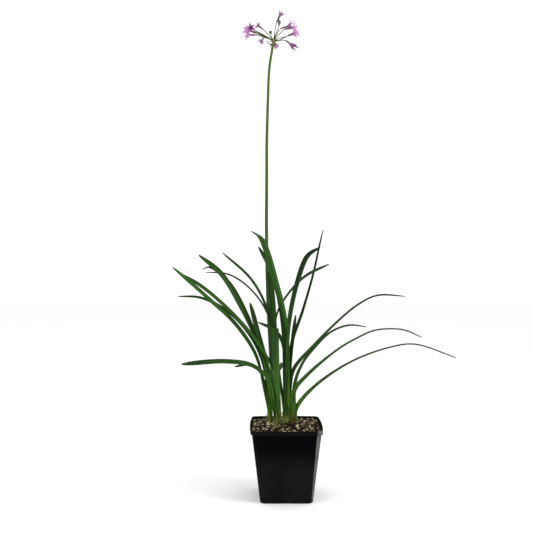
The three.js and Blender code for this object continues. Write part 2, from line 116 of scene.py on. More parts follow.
# A centripetal curve through a few points, as evenly spaced samples
def smoothPath(points, count, perSpan=40):
    ends = [points[0] * 2 - points[1], *points, points[-1] * 2 - points[-2]]
    dense = []
    for index in range(len(points) - 1):
        before, start, end, after = ends[index:index + 4]
        spans = [max(1e-9, (b - a).length ** 0.5) for a, b in ((before, start), (start, end), (end, after))]
        leave = ((start - before) / spans[0] - (end - before) / (spans[0] + spans[1])
                 + (end - start) / spans[1]) * spans[1]
        arrive = ((end - start) / spans[1] - (after - start) / (spans[1] + spans[2])
                  + (after - end) / spans[2]) * spans[1]
        for step in range(perSpan):
            t = step / perSpan
            dense.append(start * (2 * t ** 3 - 3 * t ** 2 + 1) + leave * (t ** 3 - 2 * t ** 2 + t)
                         + end * (3 * t ** 2 - 2 * t ** 3) + arrive * (t ** 3 - t ** 2))
    dense.append(points[-1].copy())
    travelled = [0.0]
    for a, b in zip(dense, dense[1:]):
        travelled.append(travelled[-1] + (b - a).length)
    samples = []
    index = 0
    for step in range(count + 1):
        goal = travelled[-1] * step / count
        while index < len(dense) - 2 and travelled[index + 1] < goal:
            index += 1
        span = travelled[index + 1] - travelled[index]
        samples.append(dense[index].lerp(dense[index + 1], clamp((goal - travelled[index]) / span)))
    return samples


def forwardAt(path, index):
    before = path[max(0, index - 1)]
    after = path[min(len(path) - 1, index + 1)]
    return (after - before).normalized()


# A strip of squares with a wall. placeAt gives the place in mm of each point, from -1 to 1 across
# and 0 to 1 along. A weld closes the strip to a tube.
def makeStrip(across, along, placeAt, wall, offset=0, weld=0):
    bpy.ops.mesh.primitive_grid_add(x_subdivisions=across, y_subdivisions=along, size=2, calc_uvs=True)
    strip = bpy.context.object
    for vertex in strip.data.vertices:
        vertex.co = placeAt(vertex.co.x, (vertex.co.y + 1) / 2) * mm
    if weld:
        addModifier(strip, "WELD", merge_threshold=weld * mm)
    addModifier(strip, "SOLIDIFY", thickness=wall * mm, offset=offset)
    return strip


# Material tools: shader nodes, made and linked by short calls. A bump is its strength and its depth
# in metres.

class Tree:
    def __init__(self, tree, owner):
        self.nodes = tree.nodes
        self.links = tree.links
        self.owner = owner

    # Each input is a number, a colour or another node's output
    def give(self, node, inputs):
        for name, value in inputs.items():
            socket = next(s for s in node.inputs if name in (s.identifier, s.name.replace(" ", "_")))
            if isinstance(value, bpy.types.NodeSocket):
                self.links.new(value, socket)
            else:
                socket.default_value = (*value, 1) if socket.type == "RGBA" else value

    def add(self, kind, settings=(), **inputs):
        node = self.nodes.new("ShaderNode" + kind)
        for name, value in dict(settings).items():
            setattr(node, name, value)
        self.give(node, inputs)
        return node

    def use(self, group, **inputs):
        return self.add("Group", {"node_tree": group}, **inputs).outputs

    def finish(self, **inputs):
        self.give(self.nodes["Principled BSDF"], inputs)
        return self.owner

    def read(self, name):
        return self.add("Attribute", {"attribute_name": name}).outputs["Fac"]

    def objectPlace(self):
        return self.add("TexCoord").outputs["Object"]

    def split(self, vector):
        return self.add("SeparateXYZ", Vector=vector).outputs

    def acrossAndAlong(self):
        uv = self.split(self.add("UVMap", {"uv_map": "UVMap"}).outputs[0])
        return uv["X"], uv["Y"]

    def math(self, operation, first, second=0.0):
        return self.add("Math", {"operation": operation}, Value=first, Value_001=second).outputs[0]

    def times(self, first, second):
        return self.math("MULTIPLY", first, second)

    def spread(self, value, low, high, toLow=0.0, toHigh=1.0):
        node = self.add("MapRange", Value=value, From_Min=low, From_Max=high, To_Min=toLow, To_Max=toHigh)
        return node.outputs[0]

    # A value that goes from 0 to 1, laid between two others
    def between(self, value, low, high):
        return self.spread(value, 0.0, 1.0, low, high)

    def blend(self, share, first, second, kind="MIX"):
        settings = {"data_type": "RGBA", "blend_type": kind}
        node = self.add("Mix", settings, Factor_Float=share, A_Color=first, B_Color=second)
        return next(s for s in node.outputs if s.identifier == "Result_Color")

    # A colour made lighter or darker by a factor
    def shade(self, colour, factor):
        grey = self.add("CombineColor", Red=factor, Green=factor, Blue=factor)
        return self.blend(1.0, colour, grey.outputs[0], "MULTIPLY")

    def ramp(self, value, stops):
        node = self.add("ValToRGB", Fac=value)
        elements = node.color_ramp.elements
        elements[0].position, elements[0].color = stops[0][0], (*stops[0][1], 1)
        elements[1].position, elements[1].color = stops[-1][0], (*stops[-1][1], 1)
        for place, colour in stops[1:-1]:
            elements.new(place).color = (*colour, 1)
        return node.outputs["Color"]

    def noise(self, vector, scale, detail, roughness):
        node = self.add("TexNoise", Vector=vector, Scale=scale, Detail=detail, Roughness=roughness)
        return node.outputs[0]

    # Noise drawn out along one way
    def streaks(self, vector, scale, detail, roughness):
        return self.noise(self.add("Mapping", Vector=vector, Scale=scale).outputs[0], 1.0, detail, roughness)

    def bump(self, height, strength, distance):
        return self.add("Bump", Height=height, Strength=strength, Distance=distance).outputs["Normal"]


def newMaterial(name):
    material = bpy.data.materials.new(name)
    material.use_nodes = True
    return Tree(material.node_tree, material)


# An input without a value is a vector
def newGroup(name, inputs, outputs):
    group = bpy.data.node_groups.new(name, "ShaderNodeTree")
    for label, value in inputs.items():
        kind = "NodeSocketVector" if value is None else "NodeSocketFloat"
        socket = group.interface.new_socket(label, in_out="INPUT", socket_type=kind)
        if value is not None:
            socket.default_value = value
    for label in outputs:
        group.interface.new_socket(label, in_out="OUTPUT", socket_type="NodeSocketFloat")
    tree = Tree(group, group)
    return tree, group.nodes.new("NodeGroupInput").outputs, group.nodes.new("NodeGroupOutput")


# Fine lines that run the length of a blade, petal or stem
def makeVeinGroup():
    inputs = {"Across": 0.0, "Along": 0.0, "Seed": 0.0, "Count": 14.0, "Drift": 2.0}
    broadCount, seedStep = 4.2, 37.0
    tree, given, leave = newGroup("lengthVeins", inputs, ("Fine", "Broad"))
    drift = tree.times(given["Along"], given["Drift"])
    for label, count, detail in (("Fine", given["Count"], 3), ("Broad", broadCount, 1)):
        place = tree.add("CombineXYZ", X=tree.times(given["Across"], count), Y=drift,
                         Z=tree.times(given["Seed"], seedStep))
        pattern = tree.noise(place.outputs[0], 1.0, detail, 0.6)
        tree.give(leave, {label: tree.spread(pattern, 0.3, 0.7)})
    return tree.owner


# Patchy variation over a surface, from the size of a coin down to fine grain
def makeMottleGroup():
    inputs = {"Vector": None, "Size": 60.0, "Grain": 900.0}
    tree, given, leave = newGroup("mottle", inputs, ("Patch", "Fleck"))
    for label, scale, detail in (("Patch", given["Size"], 4), ("Fleck", given["Grain"], 2)):
        pattern = tree.noise(given["Vector"], scale, detail, 0.62)
        tree.give(leave, {label: tree.spread(pattern, 0.32, 0.68)})
    return tree.owner


veinGroup = makeVeinGroup()
mottleGroup = makeMottleGroup()


# Camera

cameraPlan = {
    "place": (-0.029, -1.06, 0.341),
    "lens": 48,
    "sensor": 36,
    "farthest": 50,
}


def makeCamera(plan):
    bpy.ops.object.camera_add(location=plan["place"], rotation=(math.pi / 2, 0, 0))
    camera = bpy.context.object
    camera.name = "photoCamera"
    camera.data.lens = plan["lens"]
    camera.data.sensor_width = plan["sensor"]
    camera.data.clip_end = plan["farthest"]
    bpy.context.scene.camera = camera
    print("camera ready")


makeCamera(cameraPlan)


# Floor and light

stagePlan = {
    "floorSize": 12,
    "floorDrop": 0.0004,
    "floorColour": (0.93, 0.93, 0.93),
    "backdrop": 1.15,
    "horizon": (0.05, 0.45),
    "skyHigh": 1.12,
    "skyLow": 0.42,
    "aim": (0, 0, 0.25),
    "lights": {
        "key": {"place": (1.15, -0.5, 0.62), "size": 0.55, "power": 11},
        "fill": {"place": (-1.3, -0.75, 0.8), "size": 0.8, "power": 5},
        "low": {"place": (-0.75, -0.55, 0.14), "size": 0.1, "power": 0.055, "spread": 10,
                "aim": (-0.03, 0.01, 0.14)},
    },
}


def makeLight(name, plan, aim):
    bpy.ops.object.light_add(type="AREA", location=plan["place"])
    light = bpy.context.object
    light.name = name
    light.data.shape = "SQUARE"
    light.data.size = plan["size"]
    light.data.energy = plan["power"]
    light.data.spread = math.radians(plan.get("spread", 180))
    away = Vector(plan.get("aim", aim)) - Vector(plan["place"])
    light.rotation_euler = away.to_track_quat("-Z", "Y").to_euler()


# A white backdrop to look at; as a light it is brighter overhead than at the level of the plant
def makeWorld(plan):
    world = bpy.data.worlds.new("studioSky")
    bpy.context.scene.world = world
    world.use_nodes = True
    tree = Tree(world.node_tree, world)
    height = tree.split(tree.add("TexCoord").outputs["Generated"])["Z"]
    sky = tree.spread(height, *plan["horizon"], plan["skyLow"], plan["skyHigh"])
    seen = tree.add("LightPath").outputs["Is Camera Ray"]
    strength = tree.add("Mix", Factor_Float=seen, A_Float=sky, B_Float=plan["backdrop"]).outputs[0]
    tree.give(tree.nodes["Background"], {"Color": (1, 1, 1), "Strength": strength})


def makeStage(plan):
    bpy.ops.mesh.primitive_plane_add(size=plan["floorSize"], location=(0, 0, -plan["floorDrop"]))
    floor = bpy.context.object
    floor.name = "floor"
    paleFloor = newMaterial("paleFloor").finish(Base_Color=plan["floorColour"], Roughness=0.9,
                                                Specular_IOR_Level=0.1)
    floor.data.materials.append(paleFloor)
    applyPlace(floor)
    for name, light in plan["lights"].items():
        makeLight(name + "Light", light, plan["aim"])
    makeWorld(plan)
    bpy.context.scene.view_settings.view_transform = "Standard"
    print("stage ready")


makeStage(stagePlan)


# Leaves: colours, and the heights in metres at which the look of the feet changes

leafLook = {
    "foot": (0.15, 0.130, 0.036),
    "low": (0.027, 0.070, 0.002),
    "middle": (0.021, 0.074, 0.009),
    "tip": (0.012, 0.026, 0.011),
    # The light green is painted highlight, laid on in lengthwise streaks
    "light": (0.062, 0.150, 0.030),
    "dry": (0.30, 0.20, 0.095),
    "dryDark": (0.075, 0.028, 0.014),
    "brightness": 1.15,
    "lightShare": 0.28,
    "bands": (0.6, 1.25),
    "footBands": (0.22, 0.15),
    "footBandHeight": (0.19, 0.125),
    # Painted light on the left shoot near its foot
    "paintedLightLeft": 0.8,
    "paintedLightHeight": (0.2, 0.15),
    "paintedLightSide": (-0.017, -0.0195),
    "yellowFootHeight": (0.125, 0.105),
    "agedFrom": (0.45, 0.95),
    "lines": (1.15, 0.7),
    "roughness": (0.40, 0.56),
    "bump": (0.35, 0.0004),
}


def makeLeafMaterial(look):
    tree = newMaterial("leafBlade")
    across, along = tree.acrossAndAlong()
    tone = tree.read("tone")
    spot = tree.split(tree.objectPlace())
    height = spot["Z"]
    veins = tree.use(veinGroup, Across=across, Along=along, Seed=tone, Count=22.0, Drift=1.6)
    green = tree.ramp(along, [(0.0, look["low"]), (0.15, look["low"]), (0.4, look["middle"]),
                              (1.0, look["middle"])])
    # One half of a blade is painted darker than the other, as painted shade across its fold, and a leaf's
    # tone tells away from its foot
    halfShadeAndTone = tree.times(tree.spread(across, 0.4, 0.6, 0.84, 1.14), tree.spread(tone, 0.0, 1.6, 0.5, 2.1))
    evened = tree.times(tree.math("SUBTRACT", halfShadeAndTone, look["brightness"]), tree.spread(along, -0.1, 0.2))
    shaded = tree.shade(green, tree.math("ADD", evened, look["brightness"]))
    # Lengthwise streaks of painted highlight
    lit = tree.blend(tree.times(veins["Broad"], look["lightShare"]), shaded, look["light"])
    # Broad bands of painted light and shade, stronger towards the foot
    nearFoot = tree.spread(height, *look["footBandHeight"])
    darkest, brightest = look["bands"]
    deeper, lighter = (tree.times(nearFoot, more) for more in look["footBands"])
    banded = tree.shade(lit, tree.between(veins["Broad"], tree.math("SUBTRACT", darkest, deeper),
                                          tree.math("ADD", brightest, lighter)))
    # Painted light: the left shoot is made lighter towards its foot, where it lies in shade
    paintedLight = tree.times(tree.spread(height, *look["paintedLightHeight"]), tree.spread(spot["X"], *look["paintedLightSide"]))
    banded = tree.shade(banded, tree.math("ADD", 1.0, tree.times(paintedLight, look["paintedLightLeft"])))
    aged = tree.blend(tree.times(tree.spread(along, *look["agedFrom"]), tree.read("dark")),
                      banded, look["tip"])
    lined = tree.shade(aged, tree.between(veins["Fine"], *look["lines"]))
    yellowFoot = tree.times(tree.spread(height, *look["yellowFootHeight"]),
                            tree.spread(veins["Fine"], 0.2, 0.8))
    footed = tree.blend(yellowFoot, lined, look["foot"])
    papery = tree.shade(tree.blend(tone, look["dryDark"], look["dry"]),
                        tree.between(veins["Broad"], *look["bands"]))
    return tree.finish(Base_Color=tree.blend(tree.read("dry"), footed, papery),
                       Roughness=tree.between(veins["Fine"], *look["roughness"]),
                       Specular_IOR_Level=0.12, IOR=1.3, Normal=tree.bump(veins["Fine"], *look["bump"]))


leafMaterial = makeLeafMaterial(leafLook)

# In mm. The channel is how deep a blade is folded along its middle
mixTop = 101.6
rootDepth = 14
leafPlan = {
    "fields": ("lean", "width", "turn", "tone", "dark", "path"),
    "steps": 44,
    "across": 6,
    "thickness": 0.9,
    "heel": 4,
    "channel": 0.13,
    "footChannel": 0.32,
    "tipChannel": (0.04, 0.32),
    "channelCurve": 1.5,
    "footWidth": 1.45,
    "footEnd": 0.25,
    "tipStart": 0.86,
    "tipWidth": 0.25,
}
# Each shoot: where it stands, its sheath, and its leaves: the way each arches, its width, its turn at
# foot, middle and tip, its tone, how dark its tip is, and its midrib as distance out from the shoot
# and height. The places and the leaf shapes are those of the solids, apart from the tapers.
shootPlan = {
    "left": {"foot": (-24, 17), "radius": 5.1, "tone": 1.15, "leaves": [
        (197, 6.7, (-25, -60, -55), 1.05, 0.3,
         [(8.2, 147), (22.5, 207.5), (55, 256.2), (92, 291), (147.5, 339.5)]),
        (157, 5.2, (-8, -32, -38), 0.55, 0.7,
         [(8, 181), (23, 220), (48, 252), (78, 275), (118, 291), (159, 293)]),
        (187, 8.8, (-20, -54, -60), 0.45, 0.25, [(3, 172), (19, 228), (48, 288), (74, 330), (107, 358)]),
        (148, 5.6, (0, -28, -35), 0.15, 1, [(7, 191), (25, 234), (73.9, 313.5), (113.9, 339.4), (127, 336)]),
        (194, 4.8, (-10, -42, -50), 0.3, 0.75, [(9, 166), (18, 184), (31, 193), (54, 191)]),
    ]},
    "front_left": {"foot": (-13, 4), "radius": 3.9, "tone": 0, "leaves": [
        (186, 6.1, (-25, -38, -58), 0.6, 0.3,
         [(2, 160), (8, 189), (30, 228), (67.4, 271.6), (111, 310.2), (139.5, 328.8)]),
        (172, 7.2, (-50, -62, -65), 0.3, 0.45, [(8, 153), (18, 201), (31, 248), (41, 286)]),
        (193, 7.3, (-30, -50, -60), 0.15, 0.5, [(4, 140), (10, 167), (37, 193), (78, 201), (143, 199)]),
        (215, 8.4, (8, 19, 22), 0, 0.1, [(0, 171), (4, 216), (10, 299), (16, 333)], {"taper": (1.15, 1.2)}),
        (255, 10, (0, 0, 0), 0.3, 0, [(2, 150), (7, 200), (11, 249.5)], {"cut": True}),
        (32, 4.6, (-50, -44, -75), 0.2, 0.9,
         [(-3, 179), (-5, 238), (2, 273), (18.5, 296.5), (51, 325), (96.7, 344.5)], {"taper": (1.1, 1.2)}),
        (165, 4.4, (0, -8, -10), 0.1, 1, [(3, 201), (15, 268), (42, 306), (76, 328), (113, 332)]),
    ]},
    "middle": {"foot": (-0.5, 9.5), "radius": 5.5, "tone": -0.15, "leaves": [
        (240, 9.6, (0, -8, -14), 0.95, 0.1,
         [(-3, 200), (4, 257), (14, 284.5), (28, 312), (56, 361), (73, 380.5), (98, 389.5)],
         {"taper": (1.05, 1.28)}),
        (150, 5.8, (-20, -48, -55), 0.5, 0.4,
         [(1, 162), (3, 245), (13, 302), (28, 342), (47, 371)], {"taper": (1.15, 1.35)}),
        (330, 7.3, (0, -16, -52), 0.05, 0.75,
         [(2, 170), (7, 255), (18.5, 309.5), (33.7, 351), (40.6, 359.3), (57.5, 369)],
         {"taper": (1.12, 1.08)}),
        (148, 4.6, (-15, -12, -42), 0.4, 0.5, [(10, 172), (30, 268), (59, 318), (116, 363)]),
    ]},
    "right": {"foot": (7, 20), "radius": 4.6, "tone": -0.2, "leaves": [
        (162, 5.6, (-10, -42, -50), 0.2, 0.6, [(5, 176), (14, 229), (25, 243), (51, 255)]),
        (35, 5.2, (20, 6, -26), 0.05, 1,
         [(0, 169), (3, 221), (26, 274), (46, 328), (65, 398)], {"taper": (1.3, 1.1)}),
        (18, 6.3, (-105, -56, -6), 0.05, 1,
         [(-1, 153), (6.5, 185.5), (37, 217), (78, 254), (113, 280), (145, 294), (196, 293)],
         {"taper": (1.1, 0.82)}),
        (60, 5.2, (0, 16, 20), 0.5, 0.4, [(-1, 184), (8, 230), (18, 266)]),
    ]},
    "front_right": {"foot": (13.5, 9), "radius": 4.3, "tone": -0.1, "leaves": [
        (335, 5.4, (-60, -24, -16), 0.15, 0.9,
         [(0, 163), (12, 194), (30, 217), (58, 244), (86, 255), (111, 254)], {"taper": (1.15, 0.85)}),
        (352, 6.1, (-85, -30, 6), 0.35, 0.75,
         [(-1, 153), (17.3, 176.2), (64.7, 216.5), (89.4, 231.8), (120, 246), (159, 247.5), (187, 237)],
         {"taper": (1.2, 0.8)}),
        (344, 5.4, (65, 18, -14), 0.4, 0.75,
         [(3, 127), (28.7, 160), (85, 200), (141, 223), (177, 229), (234, 212)], {"taper": (1.3, 0.75)}),
    ]},
    "back": {"foot": (4, 34), "radius": 4.3, "tone": 0, "leaves": [
        (91, 7.2, (0, 11, 14), 0.4, 0.5, [(8, 160), (26, 205), (60, 231), (104, 228), (138, 204)]),
        (87, 6.4, (0, -16, -20), 0.25, 0.6, [(9, 150), (32, 186), (70, 201), (118, 182)]),
        (97, 6, (0, 14, 18), 0.55, 0.5, [(8, 140), (24, 168), (56, 184), (92, 168)]),
        (108, 5, (0, 8, 10), 0.5, 0.6, [(4, 130), (10, 150), (20, 160)]),
    ]},
}


def makeBlade(foot, leaf, plan):
    outward, sideways = headings(math.radians(leaf["lean"]))
    start = [(0, mixTop - rootDepth + plan["heel"]), (leaf["path"][0][0] * 0.1, mixTop + plan["heel"])]
    points = [Vector((*foot, up)) + outward * out for out, up in start + leaf["path"]]
    steps = plan["steps"]
    path = smoothPath(points, steps)
    footTurn, halfTurn, tipTurn = leaf["turn"]

    def placeAt(side, along):
        index = round(along * steps)
        forward = forwardAt(path, index)
        upward = forward.cross(sideways).normalized()
        turn = math.radians(mix(footTurn, halfTurn, along * 2) if along < 0.5
                            else mix(halfTurn, tipTurn, along * 2 - 1))
        acrossWay = sideways * math.cos(turn) + upward * math.sin(turn)
        face = forward.cross(acrossWay).normalized()
        past = clamp((along - plan["tipStart"]) / (1 - plan["tipStart"]))
        tip = 1 if leaf.get("cut") else max(plan["tipWidth"], math.sqrt(1 - past ** 2))
        beyondFoot = clamp(along / plan["footEnd"])
        half = 0.5 * leaf["width"] * mix(plan["footWidth"], 1, beyondFoot) * tip
        half *= mix(*leaf.get("taper", (1, 1)), clamp(along * 1.6 - 0.3))
        fold = mix(plan["footChannel"], plan["channel"], beyondFoot)
        fold = mix(fold, mix(*plan["tipChannel"], leaf["dark"]), clamp(along * 3 - 1))
        rise = fold * 2 * half * abs(side) ** plan["channelCurve"]
        return path[index] + acrossWay * (side * half) + face * rise

    blade = makeStrip(plan["across"], steps, placeAt, plan["thickness"])
    setTones(blade, tone=leaf["tone"], dark=leaf["dark"], dry=0.0)
    return blade


# Each layer of a sheath: its radius and rise as shares of the whole, its turn and its own tone
sheathPlan = {
    "layers": [(1.0, 0.4, 0, 0.55), (0.93, 0.6, 1.9, 0.25), (0.86, 0.82, -2.2, 0.6), (0.78, 1.05, 3.6, 0.2)],
    "taper": 0.14,
    "flatness": 0.86,
    "bottomShare": 0.72,
    "mouth": (0.78, 0.22),
    "rise": 42,
    "sides": 20,
    "levels": 14,
    "thickness": 0.5,
}


# The wrapped foot of a shoot: an oblique-mouthed tube that its leaves come out of
def makeSheath(foot, radius, rise, facing, tone, plan):
    level, slant = plan["mouth"]

    def placeAt(side, along):
        angle = math.pi * side + facing
        mouth = rise * (level + slant * math.cos(angle - facing))
        z = mix(mixTop - rootDepth, mixTop + mouth, along)
        share = clamp((z - mixTop - leafPlan["heel"]) / rise)
        reach = radius * (plan["bottomShare"] if along == 0 else 1) * (1 - plan["taper"] * share)
        return Vector((foot[0] + reach * math.cos(angle),
                       foot[1] + reach * plan["flatness"] * math.sin(angle), z))

    sheath = makeStrip(plan["sides"], plan["levels"], placeAt, plan["thickness"], -1, 0.01)
    setTones(sheath, tone=tone, dark=0.0, dry=0.0)
    return sheath


scrapPlan = {
    "count": 5,
    "width": (1.6, 3.2),
    "rise": (7, 17),
    "splay": (0.6, 3.4),
    "sink": 2,
    "knee": 6,
    "tipRise": 4,
    "clearances": (0.2, 0.3, 0.4),
    "seed": 31,
    "wall": 0.35,
    "own": {
        "front_left": {"points": [(-8.1, 3, 106), (-6.6, 2, 111), (-5.4, 1, 117.7), (-6.3, 0.4, 123.7),
                                  (-8.5, 0.4, 125.5), (-9.6, 1, 122.2), (-7.9, 1.6, 118.8)],
                       "steps": 24, "sideways": (0.8, 0.6, 0), "width": 1.5, "tone": 1.0},
        "left": {"points": [(-25.6, 11.6, 101.5), (-26.0, 11.2, 107), (-26.6, 10.8, 114.5)],
                 "steps": 14, "sideways": (1, 0, 0), "width": 4.6, "tone": 0.22},
    },
}


def makeScrap(points, steps, sideways, width, tone):
    path = smoothPath([Vector(point) for point in points], steps)
    sideways = Vector(sideways)

    def placeAt(side, along):
        index = round(along * steps)
        face = forwardAt(path, index).cross(sideways).normalized()
        half = 0.5 * width * (1 - 0.9 * along ** 1.5)
        curl = 0.3 * half * side ** 2 + 0.25 * noise.noise(path[index] * 0.5 + Vector((side, 0, 0)))
        return path[index] + sideways * side * half + face * curl

    scrap = makeStrip(4, steps, placeAt, scrapPlan["wall"])
    setTones(scrap, tone=tone, dark=0.0, dry=1.0)
    return scrap


# Brown papery scraps of old leaves that cling to the foot of a shoot
def makeScraps(foot, radius, rng, plan):
    pieces = []
    low, middle, high = (radius + clearance for clearance in plan["clearances"])
    for _ in range(plan["count"]):
        outward, sideways = headings(rng.uniform(0, math.tau))
        rise, splay = rng.uniform(*plan["rise"]), rng.uniform(*plan["splay"])
        start = Vector((*foot, mixTop - plan["sink"]))
        points = [start + outward * low, start + outward * middle + raised(plan["knee"]),
                  start + outward * (high + splay) + raised(plan["tipRise"] + rise)]
        pieces.append(makeScrap(points, 10, sideways, rng.uniform(*plan["width"]), rng.random()))
    return pieces


def makeShoot(shoot, plan):
    leaves = readRows(leafPlan["fields"], plan["leaves"])
    pieces = [makeBlade(plan["foot"], leaf, leafPlan) for leaf in leaves]
    lean = math.radians(leaves[0]["lean"])
    for radius, rise, turn, tone in sheathPlan["layers"]:
        pieces.append(makeSheath(plan["foot"], plan["radius"] * radius, sheathPlan["rise"] * rise,
                                 lean + turn, tone + plan["tone"], sheathPlan))
    rng = random.Random(scrapPlan["seed"] + len(shoot))
    pieces += makeScraps(plan["foot"], plan["radius"], rng, scrapPlan)
    if shoot in scrapPlan["own"]:
        pieces.append(makeScrap(**scrapPlan["own"][shoot]))
    piece = joinPieces(pieces, "shoot_" + shoot + "_leaves")
    dress(piece, "shoot_" + shoot, leafMaterial, 50)


for shoot, plan in shootPlan.items():
    makeShoot(shoot, plan)
print("shoots ready")


# Flower stalk

stemLook = {
    "foot": (0.016, 0.042, 0.007),
    "middle": (0.029, 0.066, 0.016),
    "top": (0.080, 0.128, 0.026),
    "pedicel": (0.044, 0.048, 0.019),
    "hub": (0.26, 0.22, 0.12),
    "hubReach": (0.0036, 0.0024),
    "pedicelReach": (0.001, 0.016),
    "footHeight": 0.1,
    "topDrop": 0.006,
    "headDrop": 0.004,
    "streaks": (1400, 1400, 30),
    "lines": (1.15, 0.75),
    "bump": (0.3, 0.0003),
}


def makeStemMaterial(look, head):
    tree = newMaterial("greenStem")
    place = tree.objectPlace()
    z = tree.split(place)["Z"]
    green = tree.ramp(tree.spread(z, look["footHeight"], head.z - look["topDrop"]),
                      [(0.0, look["foot"]), (0.35, look["middle"]), (1.0, look["top"])])
    away = tree.add("VectorMath", {"operation": "DISTANCE"}, Vector=place, Vector_001=head).outputs["Value"]
    inHead = tree.math("GREATER_THAN", z, head.z - look["headDrop"])
    tinted = tree.blend(tree.times(tree.spread(away, *look["pedicelReach"]), inHead), green, look["pedicel"])
    hubShare = tree.times(inHead, tree.spread(away, *look["hubReach"], 0.0, 0.8))
    tinted = tree.blend(hubShare, tinted, look["hub"])
    lines = tree.streaks(place, look["streaks"], 3.0, 0.5)
    return tree.finish(Base_Color=tree.shade(tinted, tree.spread(lines, 0.3, 0.7, *look["lines"])),
                       Roughness=0.5, Specular_IOR_Level=0.1, Normal=tree.bump(lines, *look["bump"]))


stalkPlan = {
    "foot": (-13, 14.8),
    "heel": 8,
    "path": [(-4, 150), (-7.6, 184), (-10.3, 225), (-14, 300), (-16, 400), (-15.7, 460), (-15.5, 530),
             (-13.9, 590), (-11.7, 640), (-5.5, 681)],
    "radius": (3.4, 1.95),
    "steps": 90,
    "headRadius": 3,
    "hubRadius": 2.3,
    "pedicelRadius": 0.62,
    "pedicelSteps": 16,
    "pedicelLift": 0.05,
    "pedicelBend": 0.14,
}
headMiddle = Vector((stalkPlan["foot"][0] + stalkPlan["path"][-1][0], stalkPlan["foot"][1],
                     stalkPlan["path"][-1][1] + 1))

# One row a flower, in mm: the end of its pedicel, from the middle of the head; the way its tube
# points; the lengths of tube and petals; how far the petals spread, in degrees; how deep its colour
# is; the ages of petals and tube, from fresh to withered. Lift, where it isn't the usual one, is how
# steeply its pedicel leaves the head.
flowerFields = ("foot", "aim", "tube", "petal", "open", "deep", "age", "tubeAge")
flowerPlan = readRows(flowerFields, [
    ((-30.7, 4, 16), (-0.97, 0.11, 0.2), 9.4, 8.5, 62, 0, 0.0, 0.2),
    ((-32.5, -12, 14.6), (-0.15, -0.98, -0.16), 7.2, 5.5, 84, 0.8, 0.15, 0.6, {"darkThroat": True}),
    ((-26.8, -9, 6.3), (-0.99, -0.11, -0.03), 9.3, 9, 52, 0.25, 0.2, 0.05),
    ((-16.7, 9, 21.3), (-0.75, 0.2, 0.63), 8, 5, 78, 0.1, 0.9, 0.95),
    ((5, -2, 28.2), (0.46, -0.1, 0.88), 10.5, 6.5, 44, 0.7, 0.45, 1),
    ((12.4, 14, 23.8), (0.87, 0.3, 0.38), 12.6, 8, 60, 0.4, 0.35, 0.85),
    ((17.9, -3, 17.1), (0.92, -0.38, 0.06), 12, 10.5, 66, 0, 0.0, 0.65, {"darkThroat": True}),
    ((22.6, -13, 4.4), (0.9, -0.36, 0.24), 10, 8, 62, 0.05, 0.05, 0.25, {"lift": -0.16, "darkThroat": True}),
    ((19.1, -8, -2.1), (0.69, -0.32, -0.65), 9.5, 12, 26, 1, 0.0, 0.35),
    ((-15.4, -11, 1), (-0.4, -0.3, -0.87), 4.4, 5, 52, 0.2, 0.6, 0.4),
    ((2.5, 9, 0.6), (0.25, 0.77, -0.58), 5.2, 3.8, 40, 0.15, 0.2, 0),
    ((24.7, 17, 13.9), (0.71, 0.53, 0.42), 9.4, 6.5, 60, 0.3, 0.2, 0.5),
    ((-28.8, 19, 18.8), (-0.72, 0.5, 0.48), 10, 7, 60, 0.3, 0.15, 0.3),
])
podPlan = {
    "young": {"foot": (-4.2, -6, 8.4), "aim": (-0.07, -0.07, 1), "radius": 2.6, "length": 4.8},
    "ripe": {"foot": (8.5, 6, 25.8), "aim": (0.13, 0.07, 1), "radius": 2.5, "length": 8},
}
seatGap = 0.3


# A round rod along a list of points, made as a bevelled curve and turned into a mesh
def makeRod(points, radii):
    curve = bpy.data.curves.new("rod", "CURVE")
    curve.dimensions = "3D"
    curve.bevel_depth = mm
    curve.bevel_resolution = 3
    curve.use_fill_caps = True
    spline = curve.splines.new("POLY")
    spline.points.add(len(points) - 1)
    for point, place, radius in zip(spline.points, points, radii):
        point.co = (*(place * mm), 1)
        point.radius = radius
    rod = bpy.data.objects.new("rod", curve)
    bpy.context.collection.objects.link(rod)
    makeActive(rod)
    bpy.ops.object.convert(target="MESH")
    rod = bpy.context.object
    addModifier(rod, "WELD", merge_threshold=0.005 * mm)
    return rod


def stalkPath(plan, steps):
    x, y = plan["foot"]
    marks = [(0, mixTop - rootDepth), (0, mixTop + plan["heel"]), *plan["path"]]
    return smoothPath([Vector((x + side, y, height)) for side, height in marks], steps)


# A pedicel sets out towards its flower and bends to meet it in line with the tube
def makePedicel(carried, plan):
    end = Vector(carried["foot"])
    reach = end.length
    launch = end * 0.3 + raised(reach * carried.get("lift", plan["pedicelLift"]))
    arrive = end - Vector(carried["aim"]).normalized() * reach * plan["pedicelBend"]
    corners = [headMiddle + launch.normalized() * plan["headRadius"] * 0.6, headMiddle + launch,
               headMiddle + arrive, headMiddle + end]
    points, radii = [], []
    last = plan["pedicelSteps"]
    for step in range(last + 1):
        t = step / last
        shares = ((1 - t) ** 3, 3 * t * (1 - t) ** 2, 3 * t * t * (1 - t), t ** 3)
        points.append(sum((corner * share for corner, share in zip(corners, shares)), Vector()))
        radii.append(plan["pedicelRadius"] * (1 + 0.5 * clamp((step - last + 3) / 3)))
    return makeRod(points, radii)


